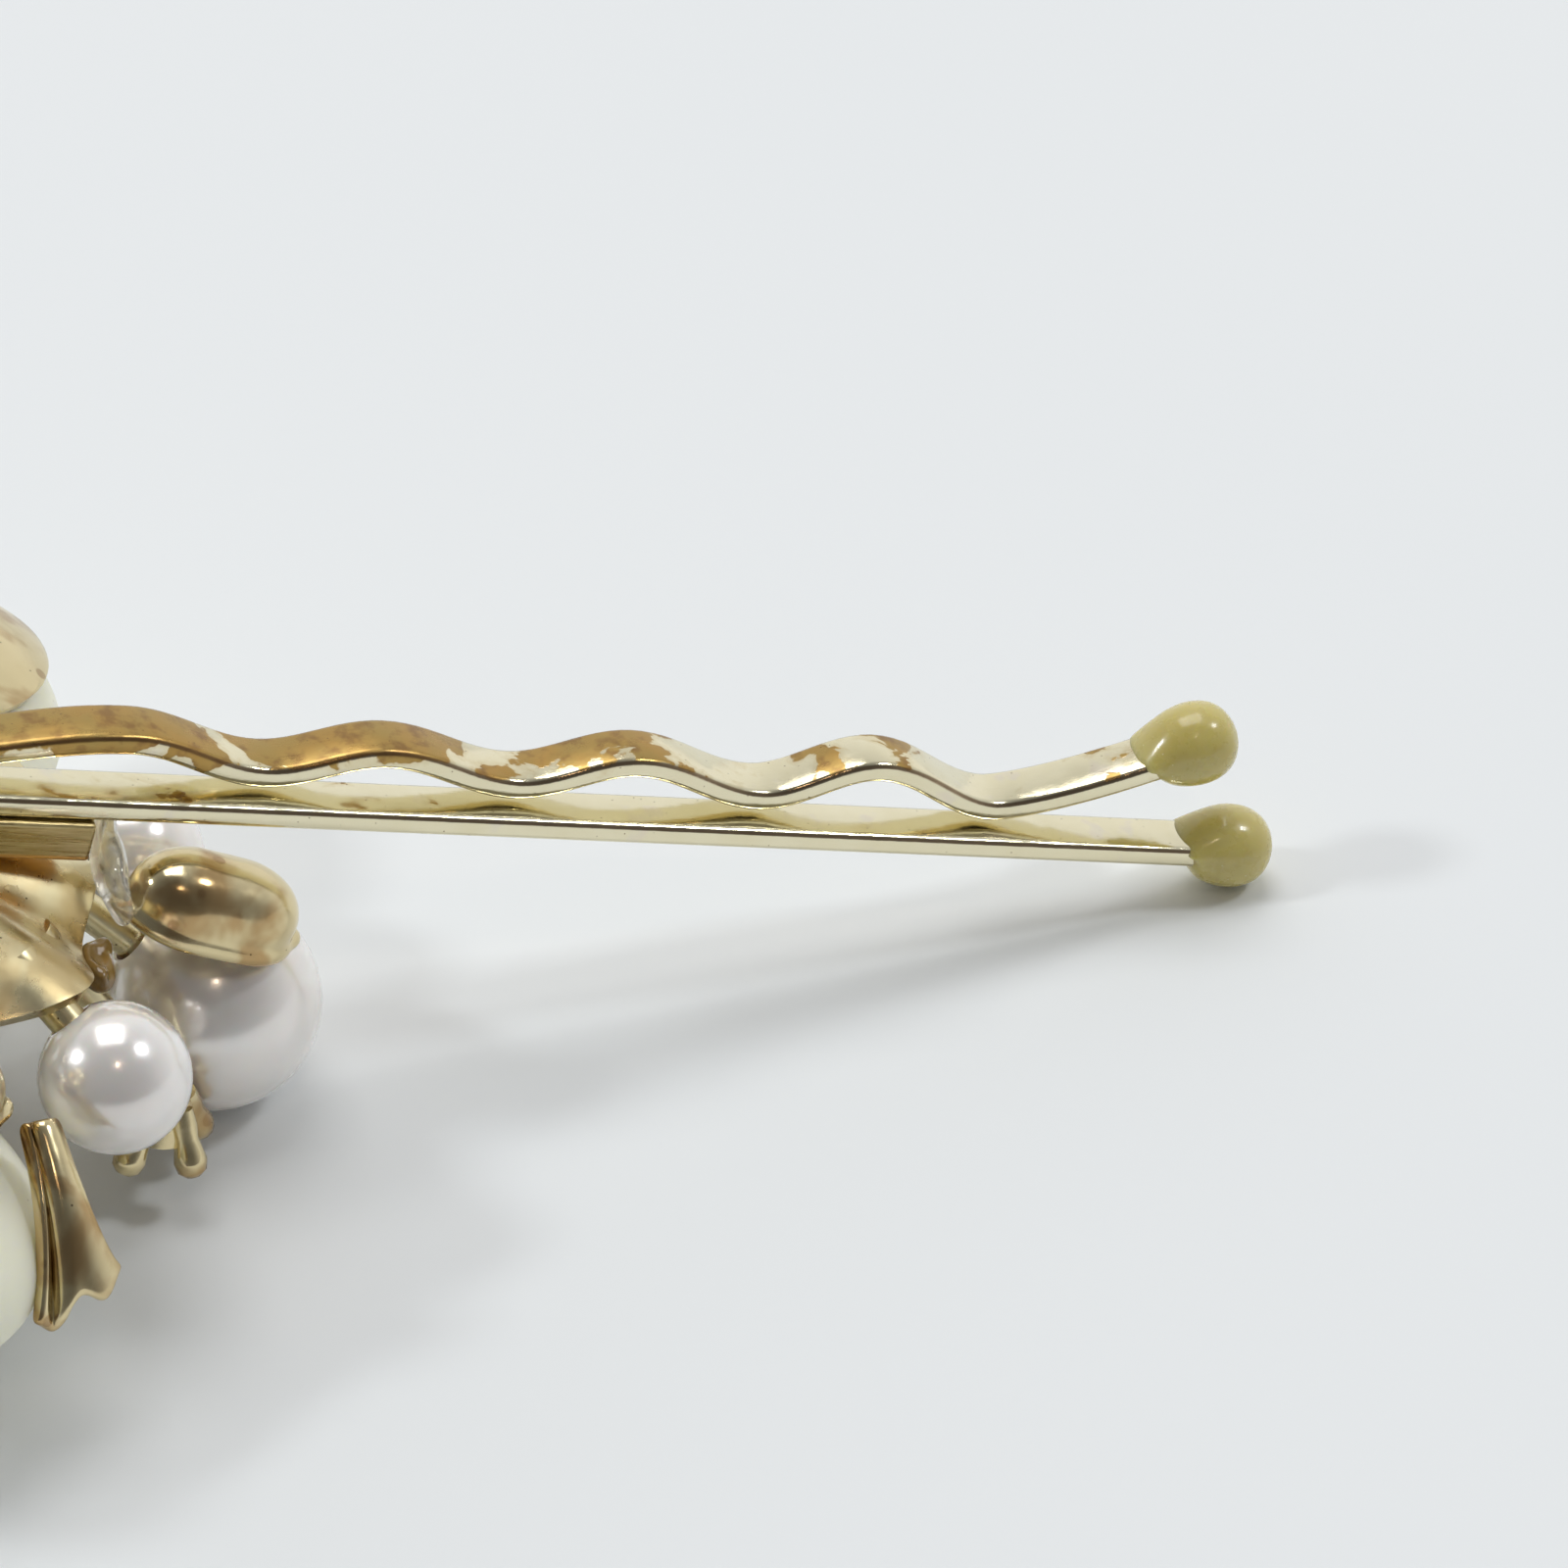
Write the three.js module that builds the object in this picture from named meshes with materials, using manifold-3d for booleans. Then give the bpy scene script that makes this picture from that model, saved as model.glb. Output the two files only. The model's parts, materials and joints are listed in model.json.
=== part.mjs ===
// A decorative hair pin: a sprung flat-wire pin with a domed cluster of pearls, petals and gilt castings.
// It lies face down, as it is put down: the cluster and the tip of its straight leg rest on the ground.
// Millimetres, +Z up. The pin's own axes are u (along the pin, from bend to tip), v (across it) and n (away
// from the cluster). They are X, Y and Z of the group `pin`, which is then tilted until both ends touch down.
import * as THREE from "three";
import { mergeVertices } from "three/addons/utils/BufferGeometryUtils.js";
import Module from "manifold-3d";

const wasm = await Module();
wasm.setup();

// ---- Driving dimensions ----
const PIN_LENGTH = 58; // from the outside of the bend to the end of the straight leg's tip
const WIRE_WIDTH = 1.55;
const WIRE_THICKNESS = 0.65;
const WIRE_EDGE = 0.16; // rounding of the wire's edges
const CLUSTER_DEPTH = 11.312; // from the straight leg's middle down to the middles of the first large pearls
const TIP_RADIUS = 1.25;
const TIP_CLEARANCE = 0.1; // around a wire end inside its resin tip
const PLAIN_RUN_START = 32; // past the ornament, where the straight leg's outer face is clear
const PLAIN_RUN_END = 2.2; // and how far short of its tip's middle that ends
const BEND_INNER_RADIUS = 0.8;
const BEND_ANGLE = THREE.MathUtils.degToRad(186); // the wire turns a little past half round
const HINGE_CLEARANCE = 0.32; // between the bend and the wavy leg, which swings past it
const WAVY_SIDE_STEP = 0.65; // the wavy leg lies this far to one side of the straight one
const WAVY_TIP_SHORT = 2.25; // how much nearer to the bend the wavy leg's tip is
const WAVY_TIP_RISE = 2.88; // height of the wavy leg's end above the straight leg
const WAVY_TIP_SLOPE = 0.4; // radians; how steeply the wavy leg enters its resin tip
const WAVY_TIP_SEAT = 0.38; // from the wavy leg's end on to the middle of its resin tip
const LEG_CLEARANCE = 0.17; // between the wave's hollows and the straight leg
const WAVE_LAST_HOLLOW = 8.9; // from the end of the pin to the last hollow
const WAVE_PITCH = 7.1;
const WAVE_FIRST_RUN = 6.3; // from the first hollow to the first crest, longer than the rest
const WAVE_CREST_LEAD = 0.47; // where a crest stands between two hollows, as a share of the pitch
const WAVE_CRESTS = [1.16, 0.9, 0.8, 0.86]; // crest heights over the hollows, from the tip back
const REST_GAP = 0.2; // between pieces that are soldered or glued together
const BAR_LENGTH = 14;
const BAR_WIDTH = 1.8;
const BAR_THICKNESS = 0.82;
const CLUSTER_U = 16.3; // the middle of the back plate, from the bend; the cluster's places count from here
const PEARL_PAIR_U = -3.9; // where the first two large pearls lie side by side
const PLATE_LENGTH = 15.2;
const PLATE_WIDTH = 12.8;
const PLATE_DIAGONAL = 0.15; // how much further the plate reaches between its length and its width
const PLATE_THICKNESS = 0.6;
const PLATE_DROP = 0.85; // how far the rim lies in front of the middle
const PLATE_LOBES = 8;
const PLATE_FURROW = 1.5; // depth of the furrows between lobes at the rim
const STEM_RADIUS = 0.5;
const LARGE_PEARL_RADIUS = 3;
const SMALL_PEARL_RADIUS = 2;
const PETAL_LENGTH = 10.6;
const PETAL_WIDTH = 9;
const PETAL_THICKNESS = 5.4;
const PETAL_BACK_THICKNESS = 0.4;
const CAPSULE_LENGTH = 5.2;
const CAPSULE_WIDTH = 3.0;
const CAPSULE_DOME = 1.55; // height of the gilt dome above its lip
const CAPSULE_LIP = 0.6;
const PRONG_CUP_RADIUS = 1.15; // at the mouth
const PRONG_CUP_HEIGHT = 1;
const PRONG_CUP_WALL = 0.2;
const PRONG_COUNT = 5;
const PRONG_RADIUS = 0.36;
const PRONG_REACH = 0.45; // how far the prongs stand beyond the cup's mouth
const CRYSTAL_RADIUS = 0.66;
const TIER_RADIUS = 5.2;
const TIER_THICKNESS = 0.6;
const TIER_PETALS = 6;
const TIER_FRONT_N = -6.3; // just behind the foremost pearls

// ---- Sizes that follow ----
const HALF_WIRE = WIRE_THICKNESS / 2;
const BEND_RADIUS = BEND_INNER_RADIUS + HALF_WIRE; // at the middle of the wire
const BEND_U = BEND_INNER_RADIUS + WIRE_THICKNESS;
const TIP_U = PIN_LENGTH - TIP_RADIUS;
const WAVY_TIP_U = TIP_U - WAVY_TIP_SHORT;
const HOLLOW_N = WIRE_THICKNESS + LEG_CLEARANCE;
const BAR_BACK_N = -HALF_WIRE - REST_GAP;
const PLATE_END = PLATE_LENGTH / 2;
const PLATE_TOP_N = BAR_BACK_N - BAR_THICKNESS - REST_GAP;
const BORE_RADIUS = STEM_RADIUS + REST_GAP;
const LEG_IN_TIP = TIP_RADIUS / 4; // how far the straight leg runs past the middle of its tip

// The pin slopes down to its tip until the large pearls and the tip touch the ground together.
const PEARLS_TO_TIP = TIP_U - CLUSTER_U - PEARL_PAIR_U;
const TILT = Math.asin((LARGE_PEARL_RADIUS - TIP_RADIUS) / Math.hypot(PEARLS_TO_TIP, CLUSTER_DEPTH))
  + Math.atan2(CLUSTER_DEPTH, PEARLS_TO_TIP);

// ---- Finishes ----
function finish(color, roughness, metalness) {
  return new THREE.MeshStandardMaterial({ color, roughness, metalness });
}

const GILT_WIRE = finish(0xc2a878, 0.3, 1);
const GILT_CASTING = finish(0xc4ad72, 0.35, 1);
const BRASS_BAR = finish(0x9a7a3c, 0.45, 1);
const OCHRE_RESIN = finish(0xb9a54c, 0.35, 0);
const PEARL = finish(0xf2eee8, 0.2, 0);
const IVORY = finish(0xecebd6, 0.55, 0);
const CRYSTAL = finish(0xf4f6f8, 0.05, 0);
const CLEAR_GLUE = finish(0xf2efe2, 0.1, 0);
const AMBER_GLUE = finish(0x8a5a1c, 0.3, 0);

// ---- The scene graph ----
const root = new THREE.Group();
const pin = new THREE.Group();
pin.rotation.y = TILT;
root.add(pin);

function add(name, geometry, material) {
  const mesh = new THREE.Mesh(geometry, material);
  mesh.name = name;
  pin.add(mesh);
  return mesh;
}

// ---- Joining and cutting ----
function toSolid(geometry) {
  const bare = geometry.index ? geometry.toNonIndexed() : geometry.clone();
  bare.deleteAttribute("normal");
  bare.deleteAttribute("uv");
  const merged = mergeVertices(bare, 1e-4);
  const triVerts = new Uint32Array(merged.index.array);
  return new wasm.Manifold(
    new wasm.Mesh({ numProp: 3, vertProperties: merged.attributes.position.array, triVerts }),
  );
}

function toGeometry(solid) {
  const mesh = solid.getMesh();
  const geometry = new THREE.BufferGeometry();
  geometry.setAttribute("position", new THREE.BufferAttribute(mesh.vertProperties, 3));
  geometry.setIndex(new THREE.BufferAttribute(mesh.triVerts, 1));
  return geometry;
}

// What is left after cutting; of several pieces, the largest.
function cut(geometry, tools) {
  const pieces = tools.reduce((solid, tool) => solid.subtract(toSolid(tool)), toSolid(geometry)).decompose();
  return toGeometry(pieces.reduce((best, piece) => (piece.volume() > best.volume() ? piece : best)));
}

function join(geometries) {
  const [first, ...others] = geometries.map(toSolid);
  return toGeometry(others.reduce((solid, more) => solid.add(more), first));
}

// ---- Shared shapes ----
const Z_AXIS = new THREE.Vector3(0, 0, 1);
const Y_AXIS = new THREE.Vector3(0, 1, 0);

// A ball with its poles along n.
function ball(radius, sides = 14, rings = 8) {
  return new THREE.SphereGeometry(radius, sides, rings).rotateX(Math.PI / 2);
}

// Moves every vertex of a closed geometry by a rule, which keeps it closed.
function reshape(geometry, rule) {
  const position = geometry.attributes.position;
  const point = new THREE.Vector3();
  for (let i = 0; i < position.count; i++) {
    point.fromBufferAttribute(position, i);
    rule(point);
    position.setXYZ(i, point.x, point.y, point.z);
  }
  return geometry;
}

// A straight round bar between two points.
function rod(from, to, radius, sides = 10) {
  const along = new THREE.Vector3().subVectors(to, from);
  const geometry = new THREE.CylinderGeometry(radius, radius, along.length(), sides);
  geometry.applyQuaternion(new THREE.Quaternion().setFromUnitVectors(Y_AXIS, along.clone().normalize()));
  const middle = from.clone().add(to).multiplyScalar(0.5);
  return geometry.translate(middle.x, middle.y, middle.z);
}

// A strip of wire from its side view: an outline in u and n, given the wire's width and rounded edges.
function wireStrip(outline, sideStep) {
  const geometry = new THREE.ExtrudeGeometry(new THREE.Shape(outline), {
    depth: WIRE_WIDTH - 2 * WIRE_EDGE,
    bevelThickness: WIRE_EDGE,
    bevelSize: WIRE_EDGE,
    bevelOffset: -WIRE_EDGE,
    bevelSegments: 1,
  });
  geometry.translate(0, 0, -WIRE_WIDTH / 2 + WIRE_EDGE);
  return geometry.rotateX(Math.PI / 2).translate(0, sideStep, 0);
}

// The two sides of a centre line, as one closed outline.
function thicken(line) {
  const above = [];
  const below = [];
  line.forEach((point, i) => {
    const before = line[Math.max(i - 1, 0)];
    const after = line[Math.min(i + 1, line.length - 1)];
    const along = new THREE.Vector2().subVectors(after, before).normalize();
    const side = new THREE.Vector2(-along.y, along.x).multiplyScalar(HALF_WIRE);
    above.push(point.clone().add(side));
    below.push(point.clone().sub(side));
  });
  return [...below, ...above.reverse()];
}

// ---- The pin ----
const bendCentre = new THREE.Vector2(BEND_U, BEND_RADIUS);
const bendEnd = (angle, radius) => new THREE.Vector2(
  bendCentre.x - radius * Math.sin(angle),
  bendCentre.y - radius * Math.cos(angle),
);

function straightLeg() {
  const start = BEND_U + REST_GAP;
  const end = TIP_U + LEG_IN_TIP;
  const line = [start, PLAIN_RUN_START, TIP_U - PLAIN_RUN_END, end].map((u) => new THREE.Vector2(u, 0));
  add("straight_leg", wireStrip(thicken(line), 0), GILT_WIRE);
}

function springBend() {
  const steps = 14;
  const line = [];
  for (let i = 0; i <= steps; i++) line.push(bendEnd((BEND_ANGLE * i) / steps, BEND_RADIUS));
  const strip = wireStrip(thicken(line), 0);
  const lean = (point) => {
    point.y += (WAVY_SIDE_STEP * THREE.MathUtils.clamp(point.z, 0, 2 * BEND_RADIUS)) / (2 * BEND_RADIUS);
  };
  add("spring_bend", reshape(strip, lean), GILT_WIRE);
}

// The wavy leg's centre line: straight down to the first hollow, four crests, then up to the tip.
function wavyLine() {
  const turnOff = HINGE_CLEARANCE / BEND_RADIUS;
  const start = bendEnd(BEND_ANGLE + turnOff, BEND_RADIUS);
  const lastHollow = PIN_LENGTH - WAVE_LAST_HOLLOW;
  const crestRun = WAVE_PITCH * WAVE_CREST_LEAD;
  const waveStart = lastHollow - WAVE_CRESTS.length * WAVE_PITCH;
  const firstHollow = waveStart + crestRun - WAVE_FIRST_RUN;
  const halfWaveSteps = 7;
  const endSteps = 8;
  const fallShape = 1.2; // above one, the leg drops faster near the bend
  const tipShape = 1.35; // above one, the leg turns up towards its tip
  const line = [];
  const stretch = (from, to, steps, height) => {
    for (let i = 0; i < steps; i++) {
      const share = i / steps;
      line.push(new THREE.Vector2(THREE.MathUtils.lerp(from, to, share), HOLLOW_N + height(share)));
    }
  };
  const ease = (share) => (1 - Math.cos(Math.PI * share)) / 2;
  const startRise = start.y - HOLLOW_N;
  stretch(start.x, firstHollow, 2 * halfWaveSteps, (share) => startRise * (1 - share) ** fallShape);
  WAVE_CRESTS.slice().reverse().forEach((crest, i) => {
    const hollow = waveStart + i * WAVE_PITCH;
    const top = hollow + crestRun;
    stretch(i === 0 ? firstHollow : hollow, top, halfWaveSteps, (share) => crest * ease(share));
    stretch(top, hollow + WAVE_PITCH, halfWaveSteps, (share) => crest * ease(1 - share));
  });
  const tipRise = WAVY_TIP_RISE - HOLLOW_N;
  stretch(lastHollow, WAVY_TIP_U, endSteps, (share) => tipRise * share ** tipShape);
  line.push(new THREE.Vector2(WAVY_TIP_U, WAVY_TIP_RISE));
  return line;
}

function wavyLeg() {
  add("wavy_leg", wireStrip(thicken(wavyLine()), WAVY_SIDE_STEP), GILT_WIRE);
}

// A ball of resin, with a pocket for the end of its leg.
function resinTip(name, u, v, n, slope) {
  const reach = 2 * TIP_RADIUS;
  const pocketEnd = LEG_IN_TIP + TIP_CLEARANCE;
  const pocket = new THREE.BoxGeometry(
    reach + pocketEnd,
    WIRE_WIDTH + 2 * TIP_CLEARANCE,
    WIRE_THICKNESS + 2 * TIP_CLEARANCE,
  );
  pocket.translate((pocketEnd - reach) / 2, 0, 0).rotateY(-slope);
  const tip = add(name, cut(ball(TIP_RADIUS), [pocket]), OCHRE_RESIN);
  tip.position.set(u, v, n);
}

// ---- The mount ----
function roundedOblong(length, width, radius) {
  const shape = new THREE.Shape();
  const x = length / 2;
  const y = width / 2;
  shape.moveTo(-x + radius, -y);
  shape.lineTo(x - radius, -y);
  shape.absarc(x - radius, -y + radius, radius, -Math.PI / 2, 0);
  shape.lineTo(x, y - radius);
  shape.absarc(x - radius, y - radius, radius, 0, Math.PI / 2);
  shape.lineTo(-x + radius, y);
  shape.absarc(-x + radius, y - radius, radius, Math.PI / 2, Math.PI);
  shape.lineTo(-x, -y + radius);
  shape.absarc(-x + radius, -y + radius, radius, Math.PI, Math.PI * 1.5);
  return shape;
}

function mountBar() {
  const corner = 0.25;
  const edge = 0.08;
  const geometry = new THREE.ExtrudeGeometry(roundedOblong(BAR_LENGTH, BAR_WIDTH, corner), {
    depth: BAR_THICKNESS - 2 * edge,
    bevelThickness: edge,
    bevelSize: edge,
    bevelOffset: -edge,
    bevelSegments: 1,
    curveSegments: 3,
  });
  const bar = add("mount_bar", geometry, BRASS_BAR);
  bar.position.set(CLUSTER_U, 0, BAR_BACK_N - BAR_THICKNESS + edge);
}

// How far the plate's back lies in front of its middle, at a share of its radius and an angle.
function plateDrop(share, angle) {
  const furrow = (1 - Math.cos(PLATE_LOBES * angle)) / 2;
  return PLATE_DROP * share ** 3 + PLATE_FURROW * furrow * share ** 1.5;
}

// The plate's reach along an angle, as a share of the ellipse inside it.
function plateReach(angle) {
  return 1 + (PLATE_DIAGONAL * (1 - Math.cos(4 * angle))) / 2;
}

// The plate's front face at a place in the cluster, for what is soldered there.
function plateFrontN(u, v) {
  const x = u / PLATE_END;
  const y = v / (PLATE_WIDTH / 2);
  const angle = Math.atan2(y, x);
  const share = Math.min(Math.hypot(x, y) / plateReach(angle), 1);
  return PLATE_TOP_N - PLATE_THICKNESS - plateDrop(share, angle);
}

// A round disc of unit radius and unit thickness, in rings that can be reshaped.
function unitDisc(rings, sides) {
  const profile = [];
  for (let i = 0; i <= rings; i++) profile.push(new THREE.Vector2(i / rings, 0));
  for (let i = 0; i <= rings; i++) profile.push(new THREE.Vector2(1 - i / rings, 1));
  return new THREE.LatheGeometry(profile, sides).rotateX(Math.PI / 2);
}

function plateGeometry(gap = 0) {
  const scallop = 0.09;
  return reshape(unitDisc(6, PLATE_LOBES * 5), (point) => {
    const share = Math.hypot(point.x, point.y);
    const angle = Math.atan2(point.y, point.x);
    const scalloped = 1 - (scallop * share * (1 - Math.cos(PLATE_LOBES * angle))) / 2;
    const radius = scalloped * plateReach(angle);
    const drop = plateDrop(share, angle);
    const backDrop = gap > 0 ? -PLATE_THICKNESS : drop;
    point.x *= radius * PLATE_END + gap;
    point.y *= (radius * PLATE_WIDTH) / 2 + gap;
    point.z = point.z > 0.5 ? -backDrop : -drop - PLATE_THICKNESS - gap;
  }).translate(CLUSTER_U, 0, PLATE_TOP_N);
}

// ---- What stands on stems ----
// A place in the cluster, counted from its middle.
const at = (u, v, n) => new THREE.Vector3(CLUSTER_U + u, v, n);

// Where a stem starts: inside the plate, whose room then trims the foot to the plate's own shape.
function footAt(u, v) {
  return at(u, v, plateFrontN(u, v) + PLATE_THICKNESS / 4);
}

function stem(name, foot, end) {
  add(name, cut(rod(foot, end, STEM_RADIUS), [plateGeometry(REST_GAP)]), GILT_CASTING);
}

// A pearl drilled to its middle, on a stem from the plate.
function pearl(kind, number, centre, radius, foot) {
  const outwards = foot.clone().sub(centre).normalize();
  const boreEnd = outwards.clone().multiplyScalar(-REST_GAP);
  const bore = rod(boreEnd, outwards.multiplyScalar(2 * radius), BORE_RADIUS);
  add(`${kind}_pearl_${number}`, cut(ball(radius), [bore]), PEARL).position.copy(centre);
  stem(`${kind}_pearl_stem_${number}`, foot, centre);
}

// Three large pearls touch each other all but for a gap; the first one stands apart.
const PEARL_SIDE = LARGE_PEARL_RADIUS + REST_GAP;
const PEARL_AHEAD = Math.sqrt((2 * LARGE_PEARL_RADIUS + REST_GAP) ** 2 - PEARL_SIDE ** 2);
const LARGE_PEARLS = [
  { centre: at(11.67, -0.15, -6.6), foot: [5, 1.7] },
  { centre: at(PEARL_PAIR_U, -PEARL_SIDE, -CLUSTER_DEPTH), foot: [-3.1, -3.2] },
  { centre: at(PEARL_PAIR_U, PEARL_SIDE, -CLUSTER_DEPTH), foot: [-3.1, 3.2] },
  { centre: at(PEARL_PAIR_U + PEARL_AHEAD, 0, -9.589), foot: [1.1, 0] },
];

const SMALL_PEARLS = [
  { centre: at(PLATE_END - 0.4, -6.2, -4.4), foot: [4.6, -3.9] },
  { centre: at(10.2, 4.6, -5.4), foot: [5.5, 3.2] },
  { centre: at(-11.1, 1.2, -7.5), foot: [-5.9, 1.2] },
  { centre: at(-4.7, -12, -6.3), foot: [-2.9, -5.4] },
  { centre: at(-1.5, 12.8, -6.4), foot: [-1.4, 5] },
];

function pearls() {
  LARGE_PEARLS.forEach(({ centre, foot }, i) => {
    pearl("large", i + 1, centre, LARGE_PEARL_RADIUS, footAt(...foot));
  });
  SMALL_PEARLS.forEach(({ centre, foot }, i) => {
    pearl("small", i + 1, centre, SMALL_PEARL_RADIUS, footAt(...foot));
  });
}

// ---- Ivory petals, their gilt backs and the gilt leaves beside them ----
const PETALS = [
  { centre: at(1, -8.2, -7.5), turn: -80, cover: 0.55, shift: 0 },
  { centre: at(4.75, 10.3, -5.5), turn: 62, cover: 0.72, shift: 0.8 },
  { centre: at(-7.5, 8.5, -7.6), turn: 128, cover: 0.72, shift: 0.4 },
  { centre: at(-10.5, -5.9, -8), turn: -148, cover: 0.72, shift: 0.4 },
].map((petal) => ({ ...petal, turn: THREE.MathUtils.degToRad(petal.turn) }));

function petalGeometry({ centre, turn }, grown = 0) {
  const geometry = ball(1, 18, 8);
  geometry.scale(PETAL_LENGTH / 2 + grown, PETAL_WIDTH / 2 + grown, PETAL_THICKNESS / 2 + grown);
  return geometry.rotateZ(turn).translate(centre.x, centre.y, centre.z);
}

// A gilt shell over the back of a petal, creased along its middle.
function petalBack(petal) {
  const crease = 0.12;
  const creaseNarrowness = 5; // the crease is this many times narrower than the petal
  const shell = reshape(ball(1, 18, 6), (point) => {
    const rise = Math.min(Math.abs(point.z), 1);
    const atRim = rise < 0.01;
    const top = point.z > 0 && !atRim;
    const reach = Math.acos(rise) / (Math.PI / 2);
    const around = Math.atan2(point.y, point.x);
    const x = petal.cover * reach * Math.cos(around) + petal.shift / (PETAL_LENGTH / 2);
    const y = petal.cover * reach * Math.sin(around);
    const height = Math.sqrt(Math.max(1 - x * x - y * y, 0));
    const grown = REST_GAP + (top ? PETAL_BACK_THICKNESS : 0);
    const fold = top ? crease * Math.max(0, 1 - Math.abs(y) * creaseNarrowness) * (1 - reach) : 0;
    point.set(
      x * (PETAL_LENGTH / 2 + grown),
      y * (PETAL_WIDTH / 2 + grown),
      height * (PETAL_THICKNESS / 2) + grown - fold,
    );
  });
  shell.rotateZ(petal.turn);
  return shell.translate(petal.centre.x, petal.centre.y, petal.centre.z);
}

// A leaf: narrow at its foot, hollowed along its middle, and flared into two lobes at its end.
function flaredLeaf(from, to, outwards) {
  const thickness = 0.45;
  const footWidth = 1.1;
  const endWidth = 2.25;
  const hollow = 0.4;
  const bow = 0.3;
  const notch = 0.5;
  const along = new THREE.Vector3().subVectors(to, from);
  const length = along.length();
  const xAxis = along.clone().normalize();
  const yAxis = new THREE.Vector3().crossVectors(outwards, xAxis).normalize();
  const zAxis = new THREE.Vector3().crossVectors(xAxis, yAxis);
  const geometry = new THREE.BoxGeometry(1, 2, 1, 6, 4, 1).translate(0.5, 0, 0);
  reshape(geometry, (point) => {
    const share = point.x;
    const side = point.y;
    const halfWidth = THREE.MathUtils.lerp(footWidth, endWidth, share ** 1.3) / 2;
    const inwards = 1 - side * side;
    const height = bow * Math.sin(Math.PI * share) - hollow * (inwards - share ** 2);
    point.set(length * share - notch * share ** 4 * inwards, side * halfWidth, point.z * thickness + height);
  });
  geometry.applyMatrix4(new THREE.Matrix4().makeBasis(xAxis, yAxis, zAxis));
  return geometry.translate(from.x, from.y, from.z);
}

const LEAVES = [
  { from: at(4.7, -8.3, -4.1), to: at(5.75, -11.85, -7.6), outwards: new THREE.Vector3(0.03, -0.73, 0.68) },
  { from: at(-1.4, 10.6, -3.8), to: at(-1.9, 15.6, -4.6), outwards: new THREE.Vector3(0, 0, 1) },
  { from: at(-12.4, 4.3, -5.2), to: at(-15.7, 6.6, -7), outwards: new THREE.Vector3(-0.3, 0, 1) },
  { from: at(-5.1, -8, -4.2), to: at(-8.3, -12.4, -5.6), outwards: new THREE.Vector3(0, -0.4, 1) },
];

function petals() {
  PETALS.forEach((petal, i) => {
    add(`ivory_petal_${i + 1}`, petalGeometry(petal), IVORY);
    add(`petal_back_${i + 1}`, petalBack(petal), GILT_CASTING);
  });
  LEAVES.forEach(({ from, to, outwards }, i) => {
    add(`flared_leaf_${i + 1}`, flaredLeaf(from, to, outwards), GILT_CASTING);
  });
}

// ---- Oblong gilt capsules, each with a low stone in its front ----
const CAPSULES = [
  { centre: at(PLATE_END + 2.92, -1.17, -2.75), turn: 0, pitch: 12.6 },
  { centre: at(1.2, -8.25, -3.35), turn: 0, pitch: 4 },
  { centre: at(-PLATE_END - 3.1, 1.3, -3), turn: Math.PI, pitch: 12.6 },
  { centre: at(-4, 8.3, -3.4), turn: Math.PI, pitch: 4 },
];

function capsules() {
  const flatten = 0.8; // below one, the dome's top is flatter and its sides steeper than a ball's
  CAPSULES.forEach(({ centre, turn, pitch }, i) => {
    const stretch = (CAPSULE_LENGTH - CAPSULE_WIDTH) / 2;
    const dome = reshape(ball(1, 18, 8), (point) => {
      const shift = (stretch * Math.tanh(2 * point.x)) / Math.tanh(2);
      const height = point.z > 0 ? CAPSULE_DOME : CAPSULE_LIP;
      const rise = Math.sign(point.z) * Math.abs(point.z) ** flatten;
      point.set((point.x * CAPSULE_WIDTH) / 2 + shift, (point.y * CAPSULE_WIDTH) / 2, rise * height);
    });
    const mesh = add(`capsule_${i + 1}`, dome, GILT_CASTING);
    mesh.position.copy(centre);
    mesh.rotation.set(0, THREE.MathUtils.degToRad(pitch), turn, "ZYX");
  });
}

// ---- Small claw settings, their mouths towards the front ----
const CLAW_SETTINGS = [
  { back: at(9.6, -3.65, -7), foot: [5.5, -2.2] },
  { back: at(5, 4.7, -7.7), foot: [2.2, 3] },
  { back: at(-8.3, 1.1, -9.6), foot: [-4.1, 0.2] },
];

function clawCup() {
  const baseRadius = 0.7;
  const beadRadius = PRONG_RADIUS * 1.15;
  const firstProng = THREE.MathUtils.degToRad(-17);
  const lip = PRONG_CUP_RADIUS - PRONG_CUP_WALL;
  const profile = [
    [0, 0],
    [baseRadius, 0],
    [PRONG_CUP_RADIUS, PRONG_CUP_HEIGHT],
    [lip, PRONG_CUP_HEIGHT],
    [baseRadius - PRONG_CUP_WALL, PRONG_CUP_WALL],
    [0, PRONG_CUP_WALL],
  ].map(([radius, height]) => new THREE.Vector2(radius, height));
  const pieces = [new THREE.LatheGeometry(profile, 10).rotateX(Math.PI / 2)];
  for (let i = 0; i < PRONG_COUNT; i++) {
    const angle = firstProng + (2 * Math.PI * i) / PRONG_COUNT;
    const outwards = new THREE.Vector3(Math.cos(angle), Math.sin(angle), 0);
    const base = outwards.clone().multiplyScalar(baseRadius).setZ(PRONG_CUP_WALL);
    const end = outwards.clone().multiplyScalar(PRONG_CUP_RADIUS + PRONG_RADIUS);
    end.setZ(PRONG_CUP_HEIGHT + PRONG_REACH);
    pieces.push(rod(base, end, PRONG_RADIUS, 5));
    pieces.push(ball(beadRadius, 6, 4).translate(end.x, end.y, end.z));
  }
  return join(pieces);
}

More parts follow.
